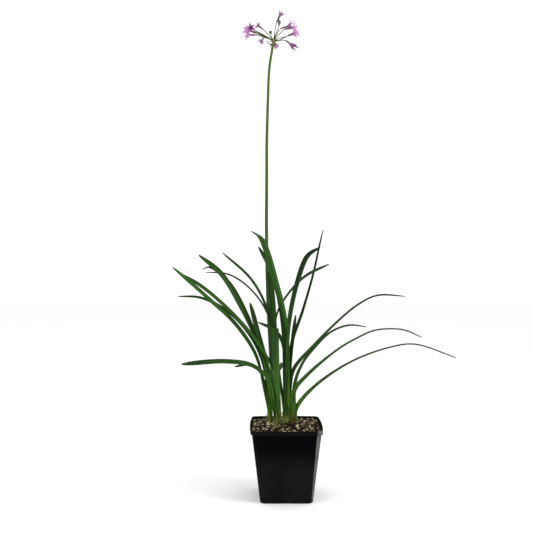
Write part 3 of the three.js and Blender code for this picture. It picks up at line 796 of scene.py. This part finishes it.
def makeStalk(plan):
    path = stalkPath(plan, plan["steps"])
    radii = [mix(*plan["radius"], index / plan["steps"]) for index in range(len(path))]
    pieces = [makeRod(path, radii)]
    pieces += [makePedicel(carried, plan) for carried in [*flowerPlan, *podPlan.values()]]
    bpy.ops.mesh.primitive_uv_sphere_add(segments=24, ring_count=14, radius=plan["hubRadius"] * mm,
                                         location=headMiddle * mm)
    head = bpy.context.object
    for vertex in head.data.vertices:
        vertex.co *= 1 + 0.10 * noise.noise(vertex.co * 900)
    applyPlace(head)
    stalk = joinPieces([*pieces, head], "flower_stalk_stem")
    dress(stalk, "flower_stalk", makeStemMaterial(stemLook, headMiddle * mm), 60)
    print("stalk ready")


makeStalk(stalkPlan)


# Spathe. Threads are turn, reach and rise, and remains are turn, reach and drop. The seat is a step
# of the stalk's path, and the number of its steps.

spathePlan = {
    "seat": (496, 500),
    "clearance": 0.25,
    "drop": 3.2,
    "collarRise": 2.4,
    "wall": 0.9,
    "halfWidth": 1.6,
    "bractSteps": 16,
    "bractWall": 0.6,
    "bracts": [
        {"turn": 182, "path": [(0.45, 1.2), (3, 1.6), (5.6, 3), (7.4, 6)]},
        {"turn": 348, "path": [(0.45, 1.2), (2.6, 1.4), (5, 0.2), (6.6, -2.6)]},
    ],
    "threads": [(8, 10, 3.5), (22, 7, 5), (-14, 12, 2), (65, 6, 4), (150, 8, 3), (188, 9, 0.5),
                (215, 6, 2.5), (-40, 7, 3.5), (-8, 5, 6), (120, 6, 5)],
    "threadWidth": 1.3,
    "threadSeed": 12,
    "remains": [(205, 2.6, 8), (250, 2.0, 5.5), (318, 2.4, 9), (20, 2.2, 6), (110, 2.2, 7)],
    "remainsWidth": 2.2,
    "dark": (0.050, 0.026, 0.018),
    "pale": (0.30, 0.25, 0.18),
}


# A colour in patches, with a fine grain
def makeMottledMaterial(name, stops, size, grain, roughness, grainBump):
    tree = newMaterial(name)
    spots = tree.use(mottleGroup, Vector=tree.objectPlace(), Size=size, Grain=grain)
    return tree.finish(Base_Color=tree.ramp(spots["Patch"], stops), Roughness=roughness,
                       Normal=tree.bump(spots["Fleck"], *grainBump))


def makeBract(path, sideways, plan):
    steps = plan["bractSteps"]

    def placeAt(side, along):
        index = round(along * steps)
        face = forwardAt(path, index).cross(sideways)
        half = plan["halfWidth"] * math.sin(math.pi * mix(0.3, 0.97, along))
        curl = 0.55 * side ** 2 + 0.25 * noise.noise(path[index] * 0.9 + Vector((side, 0, 0)))
        return path[index] + sideways * side * half + face * curl

    return makeStrip(6, steps, placeAt, plan["bractWall"])


def makeSpathe(plan):
    inner = stalkPlan["radius"][1] + plan["clearance"] + seatGap
    foot = headMiddle.z - stalkPlan["headRadius"] - seatGap - plan["drop"]
    seatStep, steps = plan["seat"]
    centre = stalkPath(stalkPlan, steps)[seatStep]

    def collarPlace(side, along):
        angle = math.pi * side
        ragged = 0.25 * noise.noise(Vector((math.cos(angle), math.sin(angle), along * 3)) * 2.3)
        reach = inner + 0.1 + ragged + 0.5 * along ** 2
        return Vector((centre.x + reach * math.cos(angle), centre.y + reach * math.sin(angle),
                       foot + plan["collarRise"] * along))

    pieces = [makeStrip(28, 6, collarPlace, plan["wall"], 1, 0.01)]
    for bract in plan["bracts"]:
        outward, sideways = headings(math.radians(bract["turn"]))
        points = [Vector((*centre.xy, foot + up)) + outward * (inner + out) for out, up in bract["path"]]
        pieces.append(makeBract(smoothPath(points, plan["bractSteps"]), sideways, plan))
    rng = random.Random(plan["threadSeed"])
    for turn, out, up in plan["threads"]:
        outward, sideways = headings(math.radians(turn))
        base = headMiddle + outward * 1.2 - raised(1.4)
        points = [base, base + outward * out * 0.5 + raised(up * 0.8),
                  base + outward * out + Vector((rng.uniform(-1, 1), rng.uniform(-1, 1), up * 0.4))]
        pieces.append(makeScrap(points, 12, sideways, plan["threadWidth"], 0.5))
    for turn, out, drop in plan["remains"]:
        outward, sideways = headings(math.radians(turn))
        top = Vector((*centre.xy, foot + 1)) + outward * (inner + 0.3)
        points = [top, top + outward * out * 0.6 - raised(drop * 0.4),
                  top + outward * out * 0.7 - raised(drop)]
        pieces.append(makeScrap(points, 12, sideways, plan["remainsWidth"], 0.7))
    spathe = joinPieces(pieces, "dried_spathe")
    middle = tuple((a + b) / 2 for a, b in zip(plan["dark"], plan["pale"]))
    stops = [(0.0, plan["dark"]), (0.55, middle), (1.0, plan["pale"])]
    paper = makeMottledMaterial("dryPaper", stops, 420.0, 2600.0, 0.8, (0.5, 0.0003))
    dress(spathe, "spathe_bracts", paper, 45)
    print("spathe ready")


makeSpathe(spathePlan)


# Flowers

flowerLook = {
    "petal": (0.52, 0.20, 0.48),
    "petalEdge": (0.68, 0.36, 0.63),
    "stripe": (0.19, 0.036, 0.20),
    "deep": (0.18, 0.030, 0.21),
    "tube": (0.20, 0.05, 0.17),
    "tubeFoot": (0.085, 0.048, 0.042),
    "oldPetal": (0.17, 0.105, 0.14),
    "oldTube": (0.020, 0.010, 0.014),
    "deepShare": 0.88,
    "veinShare": 0.22,
    "bump": (0.3, 0.0002),
}


def makeFlowerMaterial(look):
    tree = newMaterial("lilacPetal")
    across, along = tree.acrossAndAlong()
    age, isTube, deep = (tree.read(name) for name in ("age", "isTube", "deep"))
    fromMiddle = tree.math("ABSOLUTE", tree.math("SUBTRACT", across, 0.5))
    veins = tree.use(veinGroup, Across=across, Along=along, Seed=age, Count=9.0, Drift=1.0)
    petal = tree.blend(tree.spread(fromMiddle, 0.1, 0.5), look["petal"], look["petalEdge"])
    deepened = tree.blend(tree.times(deep, look["deepShare"]), petal, look["deep"])
    striped = tree.blend(tree.spread(fromMiddle, 0.02, 0.16, 0.75, 0.0), deepened, look["stripe"])
    veined = tree.blend(tree.times(veins["Fine"], look["veinShare"]), striped, look["stripe"])
    tube = tree.ramp(along, [(0.0, look["tubeFoot"]), (0.25, look["tube"]), (0.75, look["tube"]),
                             (1.0, look["petal"])])
    fresh = tree.blend(isTube, veined, tube)
    old = tree.blend(isTube, look["oldPetal"], look["oldTube"])
    wilt = tree.times(age, tree.between(veins["Broad"], 0.75, 1.0))
    return tree.finish(Base_Color=tree.blend(wilt, fresh, old), Roughness=0.6,
                       Normal=tree.bump(veins["Fine"], *look["bump"]))


flowerMaterial = makeFlowerMaterial(flowerLook)
flowerShape = {
    "tubeRadius": ((0, 0.95), (0.12, 1.25), (0.3, 1.5), (0.65, 1.35), (0.9, 1.6), (1, 2.0)),
    "tubeSides": 18,
    "tubeWall": 0.3,
    "oldTube": 0.85,
    "petalWidth": 3.8,
    "petalThickness": 0.45,
    "oldPetal": 0.62,
    "petalStart": (1.5, -1.4),
    "petalMouth": (2.0, 0.6),
    "petalSizes": (0.94, 1.03),
    "openings": (0.85, 1.1),
    "curls": (0.2, 1.0),
    "drift": 0.6,
    "innerPetal": (0.93, 0.9),
    "outerPetal": (1, 1.06),
    "scales": {"out": 1.15, "up": 0.5, "half": (0.32, 0.75, 1.1), "lean": 0.18},
    "scalesUpToAge": 0.6,
    "seed": 400,
}


def radiusAlong(stops, share):
    for (low, first), (high, second) in zip(stops, stops[1:]):
        if share <= high:
            return mix(first, second, (share - low) / (high - low))
    return stops[-1][1]


def makeTube(flower, shape):
    def placeAt(side, along):
        angle = math.pi * side
        ribs = 1 + 0.05 * math.cos(6 * angle)
        reach = radiusAlong(shape["tubeRadius"], along) * ribs * mix(1, shape["oldTube"], flower["age"])
        return Vector((reach * math.cos(angle), reach * math.sin(angle), flower["tube"] * along))

    tube = makeStrip(shape["tubeSides"], 12, placeAt, shape["tubeWall"], -1, 0.005)
    setTones(tube, isTube=1.0, age=flower["tubeAge"])
    return tube


# Petals stand in two whorls, the inner one a little shorter and narrower
def makePetal(flower, index, shape, rng):
    outward, sideways = headings(index / 6 * 2 * math.pi + math.pi / 6)
    age = flower["age"]
    longer, wider = shape["outerPetal"] if index % 2 else shape["innerPetal"]
    size = flower["petal"] * longer * rng.uniform(*shape["petalSizes"])
    opening = math.radians(flower["open"] * rng.uniform(*shape["openings"]))
    start, mouth = (outward * out + raised(flower["tube"] + up)
                    for out, up in (shape["petalStart"], shape["petalMouth"]))
    end = mouth + outward * size * math.sin(opening) + raised(size) * math.cos(opening)
    curl = rng.uniform(*shape["curls"]) * (0.8 + age)
    width = shape["petalWidth"] * mix(1, shape["oldPetal"], age) * wider
    drift = rng.uniform(-shape["drift"], shape["drift"]) * (1 + age)

    def placeAt(side, along):
        low = start.lerp(mouth, along)
        high = mouth.lerp(end, along)
        face = (high - low).normalized().cross(sideways).normalized()
        half = 0.5 * width * (math.sin(math.pi * mix(0.12, 0.985, along ** 0.85)) ** 0.7)
        fold = 0.28 * half * side ** 2 * (1 + 1.5 * age)
        wave = 0.12 * noise.noise(Vector((side * 2, along * 4, index * 5 + size)))
        return (low.lerp(high, along) + sideways * (side * half + drift * along ** 2)
                + face * (fold + wave + curl * along ** 3))

    petal = makeStrip(6, 12, placeAt, shape["petalThickness"])
    setTones(petal, isTube=0.0, age=age)
    return petal


# Three small fleshy scales that stand round the throat
def makeScale(flower, index, shape):
    bpy.ops.mesh.primitive_uv_sphere_add(segments=10, ring_count=7, radius=1)
    scale = bpy.context.object
    thick, wide, tall = shape["half"]
    for vertex in scale.data.vertices:
        x, y, z = vertex.co
        vertex.co = Vector((shape["out"] + thick * x + shape["lean"] * z, wide * y,
                            flower["tube"] + shape["up"] + tall * z)) * mm
    scale.data.transform(Matrix.Rotation(index / 3 * 2 * math.pi, 4, "Z"))
    isTube, age = (1.0, 1.0) if flower.get("darkThroat") else (0.35, flower["age"])
    setTones(scale, isTube=isTube, age=age)
    return scale


def aimPiece(piece, carried):
    direction = Vector(carried["aim"]).normalized()
    turn = raised(1).rotation_difference(direction).to_matrix().to_4x4()
    place = (headMiddle + Vector(carried["foot"]) + direction * seatGap) * mm
    piece.data.transform(Matrix.Translation(place) @ turn)


def makeFlower(number, flower, shape):
    rng = random.Random(shape["seed"] + number)
    pieces = [makeTube(flower, shape)]
    pieces += [makePetal(flower, index, shape, rng) for index in range(6)]
    if flower["age"] < shape["scalesUpToAge"]:
        pieces += [makeScale(flower, index, shape["scales"]) for index in range(3)]
    name = f"flower_{number:02d}"
    piece = joinPieces(pieces, name + "_bloom")
    setTones(piece, deep=flower["deep"])
    aimPiece(piece, flower)
    dress(piece, name, flowerMaterial, 50)


for number, flower in enumerate(flowerPlan, 1):
    makeFlower(number, flower, flowerShape)
print("flowers ready")


# Seed pods

podLook = [(0.0, (0.036, 0.055, 0.014)), (0.7, (0.095, 0.145, 0.034)), (1.0, (0.07, 0.05, 0.03))]
podShape = {"lobes": 0.14, "styleRadii": (0.45, 0.2), "styleLength": 1.8, "styleRise": 0.4}
podMaterial = makeMottledMaterial("podSkin", podLook, 500.0, 3200.0, 0.45, (0.3, 0.0002))


# A three-lobed capsule with the rest of its style on top
def makePod(name, pod, shape):
    bpy.ops.mesh.primitive_uv_sphere_add(segments=36, ring_count=20, radius=1)
    piece = bpy.context.object
    for vertex in piece.data.vertices:
        x, y, z = vertex.co
        lobes = 1 - shape["lobes"] * (0.5 + 0.5 * math.cos(3 * math.atan2(y, x))) ** 3
        place = (x * pod["radius"] * lobes, y * pod["radius"] * lobes, (z + 1) / 2 * pod["length"])
        vertex.co = Vector(place) * mm
    low, high = shape["styleRadii"]
    bpy.ops.mesh.primitive_cone_add(vertices=10, radius1=low * mm, radius2=high * mm,
                                    depth=shape["styleLength"] * mm,
                                    location=(0, 0, (pod["length"] + shape["styleRise"]) * mm))
    style = bpy.context.object
    applyPlace(style)
    piece = joinPieces([piece, style], name + "_capsule")
    aimPiece(piece, pod)
    dress(piece, name, podMaterial, 50)


for name, pod in podPlan.items():
    makePod("seed_pod_" + name, pod, podShape)
print("pods ready")


# Pot

potPlan = {
    "height": 107,
    "wall": 1.4,
    "floor": 3,
    "baseHalf": 38.3,
    "topHalf": 50.8,
    "topBow": 1.4,
    "rimHalf": 51.9,
    "rimBow": 1.9,
    "rimBand": 6.5,
    "corner": 8,
    "cornerSteps": 10,
    "sideSteps": 8,
    "drainRadius": 4.5,
    "drainDistance": 24,
    "channelDepth": 1,
    "channelWidth": 14,
}
# Heights in metres. The painted highlight, a painted reflection of the lamp at the right, runs down one
# corner, between a reach and a facing at foot and top
potLook = {
    "plastic": (0.0005, 0.0006, 0.0010),
    # Painted reflection of the floor, low on the pot
    "floorReflection": (0.0078, 0.0086, 0.0076),
    "floorReflectionHeight": (0.078, 0.05),
    "rim": (0.0034, 0.0039, 0.0041),
    "rimHeight": (0.0998, 0.1006),
    # Painted highlight colour: a painted reflection on the right-hand corners
    "paintedHighlight": (0.115, 0.116, 0.110),
    "highlightReach": (0.0343, 0.0429),
    "highlightFacing": (0.62, 0.02),
    "highlightEdge": (0.0012, 0.12),
    "streaks": (260, 260, 24),
    "roughness": (0.36, 0.5),
    "bump": (0.12, 0.0002),
}
potLedge = potPlan["height"] - potPlan["rimBand"] + potPlan["wall"]


def makePotMaterial(look):
    tree = newMaterial("blackPlastic")
    place = tree.objectPlace()
    x, y, z = tree.split(place)
    spots = tree.use(mottleGroup, Vector=place, Size=22.0, Grain=900.0)
    lines = tree.streaks(place, look["streaks"], 4.0, 0.65)
    # Painted reflection of the floor: lighter towards the bottom, in patches
    reflectedFloor = tree.times(tree.spread(z, *look["floorReflectionHeight"]), tree.between(spots["Patch"], 0.35, 1.0))
    black = tree.blend(reflectedFloor, look["plastic"], look["floorReflection"])
    black = tree.blend(tree.spread(z, *look["rimHeight"]), black, look["rim"])
    upPot = (z, 0.0, potPlan["height"] * mm)
    # Painted highlight: only on the right-hand corners, where they face the lamp at the right
    corner = tree.math("MINIMUM", x, tree.math("ABSOLUTE", y))
    reach = tree.math("SUBTRACT", corner, tree.spread(*upPot, *look["highlightReach"]))
    facing = tree.math("SUBTRACT", tree.split(tree.add("NewGeometry").outputs["Normal"])["X"],
                       tree.spread(*upPot, *look["highlightFacing"]))
    reachEdge, facingEdge = look["highlightEdge"]
    highlightMask = tree.times(tree.spread(reach, 0.0, reachEdge), tree.spread(facing, 0.0, facingEdge))
    highlighted = tree.times(highlightMask, tree.spread(lines, 0.35, 0.6, 0.5, 1.0))
    return tree.finish(Base_Color=tree.blend(highlighted, black, look["paintedHighlight"]), Specular_IOR_Level=0.02,
                       Roughness=tree.spread(lines, 0.3, 0.7, *look["roughness"]),
                       Normal=tree.bump(spots["Fleck"], *look["bump"]))


# One level outline of the pot: a square with round corners whose sides bow out
def potOutline(half, bow, z, corner):
    points = []
    for side in range(4):
        turn = Matrix.Rotation(side * math.pi / 2, 3, "Z")
        for step in range(potPlan["cornerSteps"] + 1):
            angle = step / potPlan["cornerSteps"] * math.pi / 2
            points.append(turn @ Vector((half - corner + corner * math.cos(angle),
                                         half - corner + corner * math.sin(angle), z)))
        for step in range(1, potPlan["sideSteps"]):
            along = 1 - 2 * step / potPlan["sideSteps"]
            points.append(turn @ Vector(((half - corner) * along, half + bow * (1 - along ** 2), z)))
    return [point * mm for point in points]


# A circle that is extruded ring by ring, each ring laid on its outline
def extrudeRings(rings):
    bpy.ops.mesh.primitive_circle_add(vertices=len(rings[0]), radius=1, fill_type="NOTHING")
    shell = bpy.context.object
    for vertex, place in zip(shell.data.vertices, rings[0]):
        vertex.co = place
    bpy.ops.object.mode_set(mode="EDIT")
    bpy.ops.mesh.select_all(action="SELECT")
    bpy.ops.mesh.edge_face_add()
    bpy.ops.mesh.select_all(action="SELECT")
    slots = {index: index for index in range(len(rings[0]))}
    for ring in rings[1:]:
        bpy.ops.mesh.extrude_region_move()
        bm = bmesh.from_edit_mesh(shell.data)
        found = {}
        for vertex in bm.verts:
            for edge in vertex.link_edges if vertex.select else ():
                other = edge.other_vert(vertex)
                if not other.select:
                    found[vertex] = slots[other.index]
        bm.verts.index_update()
        slots = {vertex.index: slot for vertex, slot in found.items()}
        for vertex, slot in found.items():
            vertex.co = ring[slot]
        bmesh.update_edit_mesh(shell.data)
    bpy.ops.object.mode_set(mode="OBJECT")
    return shell


def bodyRing(z, inset=0.0):
    share = z / potPlan["height"]
    half = mix(potPlan["baseHalf"], potPlan["topHalf"], share) - inset
    return potOutline(half, potPlan["topBow"] * share, z, potPlan["corner"] - inset)


def rimRing(z, inset=0.0):
    return potOutline(potPlan["rimHalf"] - inset, potPlan["rimBow"], z, potPlan["corner"] - inset)


def makePot(plan):
    top, wall = plan["height"], plan["wall"]
    band = top - plan["rimBand"]
    outside = [bodyRing(0, 1.2), bodyRing(0.35, 0.35), bodyRing(1.3), bodyRing(4), bodyRing(35),
               bodyRing(70), bodyRing(band - 1), bodyRing(band - 0.3), rimRing(band + 0.1, 0.5),
               rimRing(band + 0.7), rimRing(band + 1.4), rimRing(top - 1.2), rimRing(top - 0.35, 0.1)]
    inside = [rimRing(top, 0.4), rimRing(top, wall - 0.4), rimRing(top - 0.35, wall - 0.1),
              rimRing(top - 1.2, wall), rimRing(potLedge + wall / 2, wall), bodyRing(potLedge, wall),
              bodyRing(50, wall), bodyRing(plan["floor"], wall)]
    pot = extrudeRings(outside + inside)
    pot.name = "nursery_pot"
    cutters = []
    reach = 2 * plan["baseHalf"] + 10
    for x, y in ((reach, plan["channelWidth"]), (plan["channelWidth"], reach)):
        bpy.ops.mesh.primitive_cube_add(size=1, scale=(x * mm, y * mm, 2 * plan["channelDepth"] * mm))
        cutters.append(bpy.context.object)
    for side in range(4):
        outward, _ = headings(side * math.pi / 2)
        bpy.ops.mesh.primitive_cylinder_add(vertices=32, radius=plan["drainRadius"] * mm, depth=12 * mm,
                                            location=outward * plan["drainDistance"] * mm)
        cutters.append(bpy.context.object)
    for cutter in cutters:
        applyPlace(cutter)
        addModifier(pot, "BOOLEAN", operation="DIFFERENCE", object=cutter, solver="EXACT")
        bpy.data.objects.remove(cutter)
    dress(pot, "pot", makePotMaterial(potLook), 32)
    print("pot ready")


makePot(potPlan)


# Potting mix. Each kind of stone has its number, least and largest size, lift as a share of its size,
# and tones

mixPlan = {
    "rise": 3.4,
    "gap": 0.3,
    "sink": 1.5,
    "levels": (0.98, 0.9, 0.8, 0.68, 0.55, 0.42, 0.3, 0.18, 0.08),
    "stones": {"count": 860, "size": (2.5, 5.0), "lift": -0.02,
               "tones": ((0.0, 0.15), (0.1, 0.35), (0.5, 0.7), (0.8, 1.0))},
    "crumbs": {"count": 300, "size": (1.2, 2.4), "lift": 0.4, "tones": (0.05, 0.3, 0.7)},
    "chips": {"count": 170, "size": (3, 7), "lift": 0.2, "tones": (0.0, 0.16)},
    "edge": {"count": 150, "size": (1.5, 3.0), "lift": 0.35, "tones": (0.1, 0.5, 0.8)},
    "crowding": 1.6,
    "tilt": 0.6,
    "jitter": 0.5,
    "edgeRoom": 1.3,
    "shootRoom": 3.6,
    "edgeDip": 1.8,
    "dipFrom": (36, 10),
    "sideTones": (1.0, 0.88),
    "sideFrom": (-20, 35),
    "patches": 0.45,
    "patchSize": 13,
    "seed": 20711,
}
gritLook = {
    # The darkest stop also colours the plug: dark soil, with painted shade between the stones
    "stops": [(0.0, (0.009, 0.007, 0.005)), (0.2, (0.028, 0.018, 0.010)), (0.38, (0.070, 0.053, 0.024)),
              (0.55, (0.150, 0.125, 0.058)), (0.7, (0.215, 0.180, 0.092)), (0.84, (0.40, 0.36, 0.225)),
              (1.0, (0.70, 0.66, 0.50))],
    "wobble": 0.1,
    "fleck": (0.4, 0.38, 0.34),
    "fleckShare": 0.4,
    "bump": (0.6, 0.0004),
}


def makeGritMaterial(look):
    tree = newMaterial("gritAndBark")
    spots = tree.use(mottleGroup, Vector=tree.objectPlace(), Size=700.0, Grain=3500.0)
    wobble = tree.between(spots["Patch"], -look["wobble"], look["wobble"])
    stone = tree.ramp(tree.math("ADD", tree.read("tone"), wobble), look["stops"])
    speckled = tree.blend(tree.times(spots["Fleck"], look["fleckShare"]), stone,
                          tree.blend(1.0, stone, look["fleck"], "MULTIPLY"))
    return tree.finish(Base_Color=speckled, Roughness=0.9, Specular_IOR_Level=0.04,
                       Normal=tree.bump(spots["Fleck"], *look["bump"]))


def mixHeight(x, y):
    share = min(1, max(abs(x), abs(y)) / potPlan["rimHalf"])
    return mixTop + mixPlan["rise"] * (1 - share * share)


# The body of the mix, under its stones. Its tone of 0 gives it the darkest colour: dark soil, with painted
# shade in the gaps between the stones
def makePlug(plan):
    wall = potPlan["wall"] + plan["gap"]
    ledge = potLedge + plan["gap"]
    low = potPlan["floor"] + plan["gap"]
    rings = [bodyRing(low, wall), bodyRing(ledge, wall), rimRing(ledge + 0.7, wall)]
    for level in plan["levels"]:
        half = (potPlan["rimHalf"] - wall) * level
        outline = potOutline(half, potPlan["rimBow"] * level, 0, potPlan["corner"] * level)
        rings.append([Vector((p.x, p.y, (mixHeight(p.x / mm, p.y / mm) - plan["sink"]) * mm
                              + 0.0009 * noise.noise(p * 160))) for p in outline])
    plug = extrudeRings(rings)
    setTones(plug, tone=0.0)
    return plug


# A pebble, worked up from a cube and knocked out of true
def makePebble(rng, stretch):
    bpy.ops.mesh.primitive_cube_add(size=1)
    pebble = bpy.context.object
    bpy.ops.object.mode_set(mode="EDIT")
    bpy.ops.mesh.subdivide(number_cuts=1, smoothness=0.9)
    bpy.ops.object.mode_set(mode="OBJECT")
    for vertex in pebble.data.vertices:
        vertex.co *= rng.uniform(0.8, 1.12)
        vertex.co = [part * share for part, share in zip(vertex.co, stretch)]
    return pebble


def scatterCopies(models, places):
    copies = []
    for model, place, tone in places:
        mesh = models[model].data.copy()
        mesh.transform(place)
        copy = bpy.data.objects.new("grit", mesh)
        bpy.context.collection.objects.link(copy)
        setTones(copy, tone=tone)
        copies.append(copy)
    return copies


def makeMix(plan):
    rng = random.Random(plan["seed"])
    stones = [makePebble(rng, (1, rng.uniform(0.75, 1), rng.uniform(0.68, 0.95))) for _ in range(7)]
    chips = [makePebble(rng, (1.5, rng.uniform(0.5, 0.8), 0.28)) for _ in range(4)]
    models = stones + chips
    reach = potPlan["topHalf"] - potPlan["wall"] - plan["edgeRoom"]
    feet = [shoot["foot"] for shoot in shootPlan.values()] + [stalkPlan["foot"]]
    (dipStart, dipRun), (sideStart, sideRun) = plan["dipFrom"], plan["sideFrom"]
    places = []

    def scatter(kind, choices, pickTone):
        for _ in range(kind["count"]):
            x, y = rng.uniform(-reach, reach), rng.uniform(-reach, reach)
            size = mix(*kind["size"], rng.random() ** plan["crowding"])
            outmost = max(abs(x), abs(y))
            beyondCorner = abs(x) + abs(y) > 2 * reach - potPlan["corner"] * 0.5 - size * 0.75
            if beyondCorner or outmost > reach - size * 0.55:
                continue
            if any(math.hypot(x - fx, y - fy) < plan["shootRoom"] + size * 0.5 for fx, fy in feet):
                continue
            turn = Matrix.Rotation(rng.uniform(0, math.tau), 4, "Z")
            turn = turn @ Matrix.Rotation(rng.uniform(-plan["tilt"], plan["tilt"]), 4, "X")
            dip = plan["edgeDip"] * clamp((outmost - dipStart) / dipRun)
            z = mixHeight(x, y) - dip + kind["lift"] * size
            z += rng.uniform(-plan["jitter"], plan["jitter"])
            place = Matrix.Translation(Vector((x, y, z)) * mm)
            spot = Vector((x / plan["patchSize"], y / plan["patchSize"], 4))
            patch = 1 + plan["patches"] * noise.noise(spot)
            side = mix(*plan["sideTones"], clamp((x - sideStart) / sideRun))
            tone = clamp(pickTone(kind["tones"]) * patch * side)
            places.append((rng.choice(choices), place @ turn @ Matrix.Scale(size * mm, 4), tone))

    stoneChoices = range(len(stones))
    chipChoices = range(len(stones), len(models))
    scatter(plan["stones"], stoneChoices, lambda tones: rng.choice([rng.uniform(*pair) for pair in tones]))
    scatter(plan["crumbs"], stoneChoices, rng.choice)
    scatter(plan["chips"], chipChoices, lambda tones: rng.uniform(*tones))
    # A row of small stones on the ledge inside the rim
    ledge = potPlan["rimHalf"] - potPlan["wall"] - 2
    for _ in range(plan["edge"]["count"]):
        side, along = rng.randrange(4), rng.uniform(-1, 1) * (ledge - potPlan["corner"] * 0.6)
        size = rng.uniform(*plan["edge"]["size"])
        spot = Matrix.Rotation(side * math.pi / 2, 3, "Z") @ Vector((ledge - rng.uniform(0, 2), along, 0))
        spot.z = potLedge + plan["gap"] + size * plan["edge"]["lift"]
        turn = Matrix.Rotation(rng.uniform(0, math.tau), 4, "Z")
        place = Matrix.Translation(spot * mm) @ turn @ Matrix.Scale(size * mm, 4)
        places.append((rng.choice(stoneChoices), place, rng.choice(plan["edge"]["tones"])))
    copies = scatterCopies(models, places)
    for model in models:
        bpy.data.objects.remove(model)
    piece = joinPieces([makePlug(plan)] + copies, "gritty_mix")
    dress(piece, "potting_mix", makeGritMaterial(gritLook), 38)
    print("mix ready:", len(copies), "stones and chips")


makeMix(mixPlan)


def corners(low, high):
    return [list(low), list(high)]
